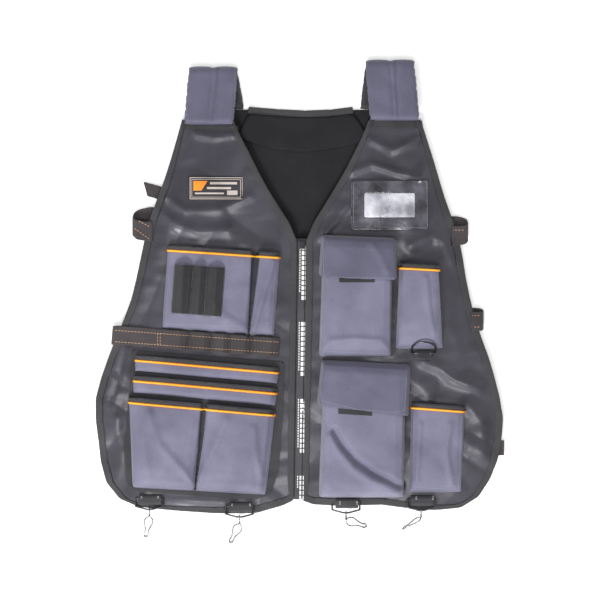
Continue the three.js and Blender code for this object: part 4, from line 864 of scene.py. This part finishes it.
# %% The draped bands
on_label = {"on": ["chest_label"], "lift": 0.1, "thick": 0.2}
border = frame_lines(189.8, 177.4, 242.6, 199.2, 0.7) + frame_lines(191.6, 179.2, 240.8, 197.4, 0.5)
marks = [bar(210, 182, 237, 184.4), bar(207, 187, 231, 189.2),
         bar(195, 192.6, 224, 194.2), bar(227, 190.5, 237.5, 195)]
slanted = [(193.4, 190.6), (201.5, 190.6), (207.5, 181), (193.4, 181)]
drape("patch_lines", FINISH["pale_thread"], [{"corners": corners, **on_label} for corners in border + marks])
drape("patch_block", FINISH["orange_print"], [{"corners": slanted, **on_label}])
under_pads = {"lift": 0.3, "thick": 0.9}
flanges = [{"corners": [(181.5, 129.5), (238.5, 132.5), (237.5, 125.5), (182.6, 122.5)],
            "on": ["front_panel_left", "front_binding_left"], **under_pads},
           {"corners": [(369.5, 127.5), (423.5, 127.5), (422.4, 120.2), (369.8, 119.4)],
            "on": ["front_panel_right", "front_binding_right"], **under_pads}]
drape("pad_end_bands", FINISH["backing"], flanges, step=2.0)
# Painted shade: a narrow dark strip in each pleat.
PLEAT_SHADE_CORNERS = {"chest_pocket": [(247.6, 338), (249.4, 338), (260.2, 254.6), (251.6, 254.2)],
            "tier_pocket_3": [(194.4, 489), (196.0, 489), (208.0, 408.6), (201.0, 407.6)]}
drape("pleat_folds", FINISH["fold"], [{"corners": corners, "on": [node], "lift": 0.05, "thick": 0.15}
                                      for node, corners in PLEAT_SHADE_CORNERS.items()], step=1.0)
# Black hook-and-loop strips peek out under the flaps; they also paint the shade under each flap's edge.
under_flap = {"lift": 0.1, "thick": 0.7}
strips = [{"corners": bar(339, 278.4, 374, 282.4), "on": ["upper_flap_pocket"], **under_flap},
          {"corners": [(338, 413), (371.6, 415), (371.6, 411), (338, 408)],
           "on": ["lower_flap_pocket"], **under_flap}]
drape("hook_and_loop", FINISH["elastic"], strips)

# %% [markdown]

# %% [markdown]
# ## Table, light and camera
# The table is plain and pale, and glows a little so that it stays white. A large soft light from the
# foot of the picture and weaker ones round it shape the folds. The camera looks straight down from
# three metres, with a lens that takes in as much table as the photograph.

# %% The table
TABLE_HALF = 6.0
TABLE_BELOW = -0.4 * MM
TABLE_TONE = 0.95
TABLE_GLOW = 0.3
TABLE_ROUGHNESS = 0.9
floor_mesh = bpy.data.meshes.new("table_top")
floor_corners = [(x * TABLE_HALF, y * TABLE_HALF, TABLE_BELOW)
                 for x, y in ((-1, -1), (1, -1), (1, 1), (-1, 1))]
floor_mesh.from_pydata(floor_corners, [], [(0, 1, 2, 3)])
table_finish, _, _, table_shader = start_finish("pale_table", TABLE_ROUGHNESS)
table_shader.inputs["Base Color"].default_value = (TABLE_TONE, TABLE_TONE, TABLE_TONE, 1)
table_shader.inputs["Emission Color"].default_value = (1, 1, 1, 1)
table_shader.inputs["Emission Strength"].default_value = TABLE_GLOW
floor_mesh.materials.append(table_finish)
table = bpy.data.objects.new("table_top", floor_mesh)
bpy.context.scene.collection.objects.link(table)
print("table:", 2 * TABLE_HALF, "m wide")

# %% The lights
def soft_light(name, place, size, power):
    """A square light that shines at the middle of the vest."""
    data = bpy.data.lights.new(name, "AREA")
    data.size, data.energy = size, power
    light = bpy.data.objects.new(name, data)
    light.location = place
    light.rotation_euler = (-Vector(place)).to_track_quat("-Z", "Y").to_euler()
    bpy.context.scene.collection.objects.link(light)


soft_light("window_light", (-0.45, -1.6, 1.5), 0.6, 42)
soft_light("side_light", (-1.7, 0.3, 1.2), 0.6, 11)
soft_light("fill_light", (1.6, 0.9, 1.8), 1.4, 7)
soft_light("gloss_light", (0.05, -0.85, 2.6), 0.6, 18)
ROOM_GLOW = 0.42
world = bpy.data.worlds.new("pale_room")
world.use_nodes = True
world.node_tree.nodes["Background"].inputs["Color"].default_value = (1, 1, 1, 1)
world.node_tree.nodes["Background"].inputs["Strength"].default_value = ROOM_GLOW
bpy.context.scene.world = world
print("lights:", len(bpy.data.lights), "room glow:", ROOM_GLOW)

# %% The camera
CAMERA_UP = 3.0
VEST_TOP = 15 * MM
camera_data = bpy.data.cameras.new("overhead")
camera_data.sensor_width = 36
camera_data.lens = camera_data.sensor_width * CAMERA_UP / (PHOTO_WIDTH * PIXEL)
camera = bpy.data.objects.new("overhead", camera_data)
middle = on_table(PHOTO_MIDDLE, PHOTO_MIDDLE)
camera.location = (*middle, CAMERA_UP + VEST_TOP)
bpy.context.scene.collection.objects.link(camera)
bpy.context.scene.camera = camera
bpy.context.scene.view_settings.view_transform = "Standard"
print("lens, mm:", round(camera_data.lens, 1))
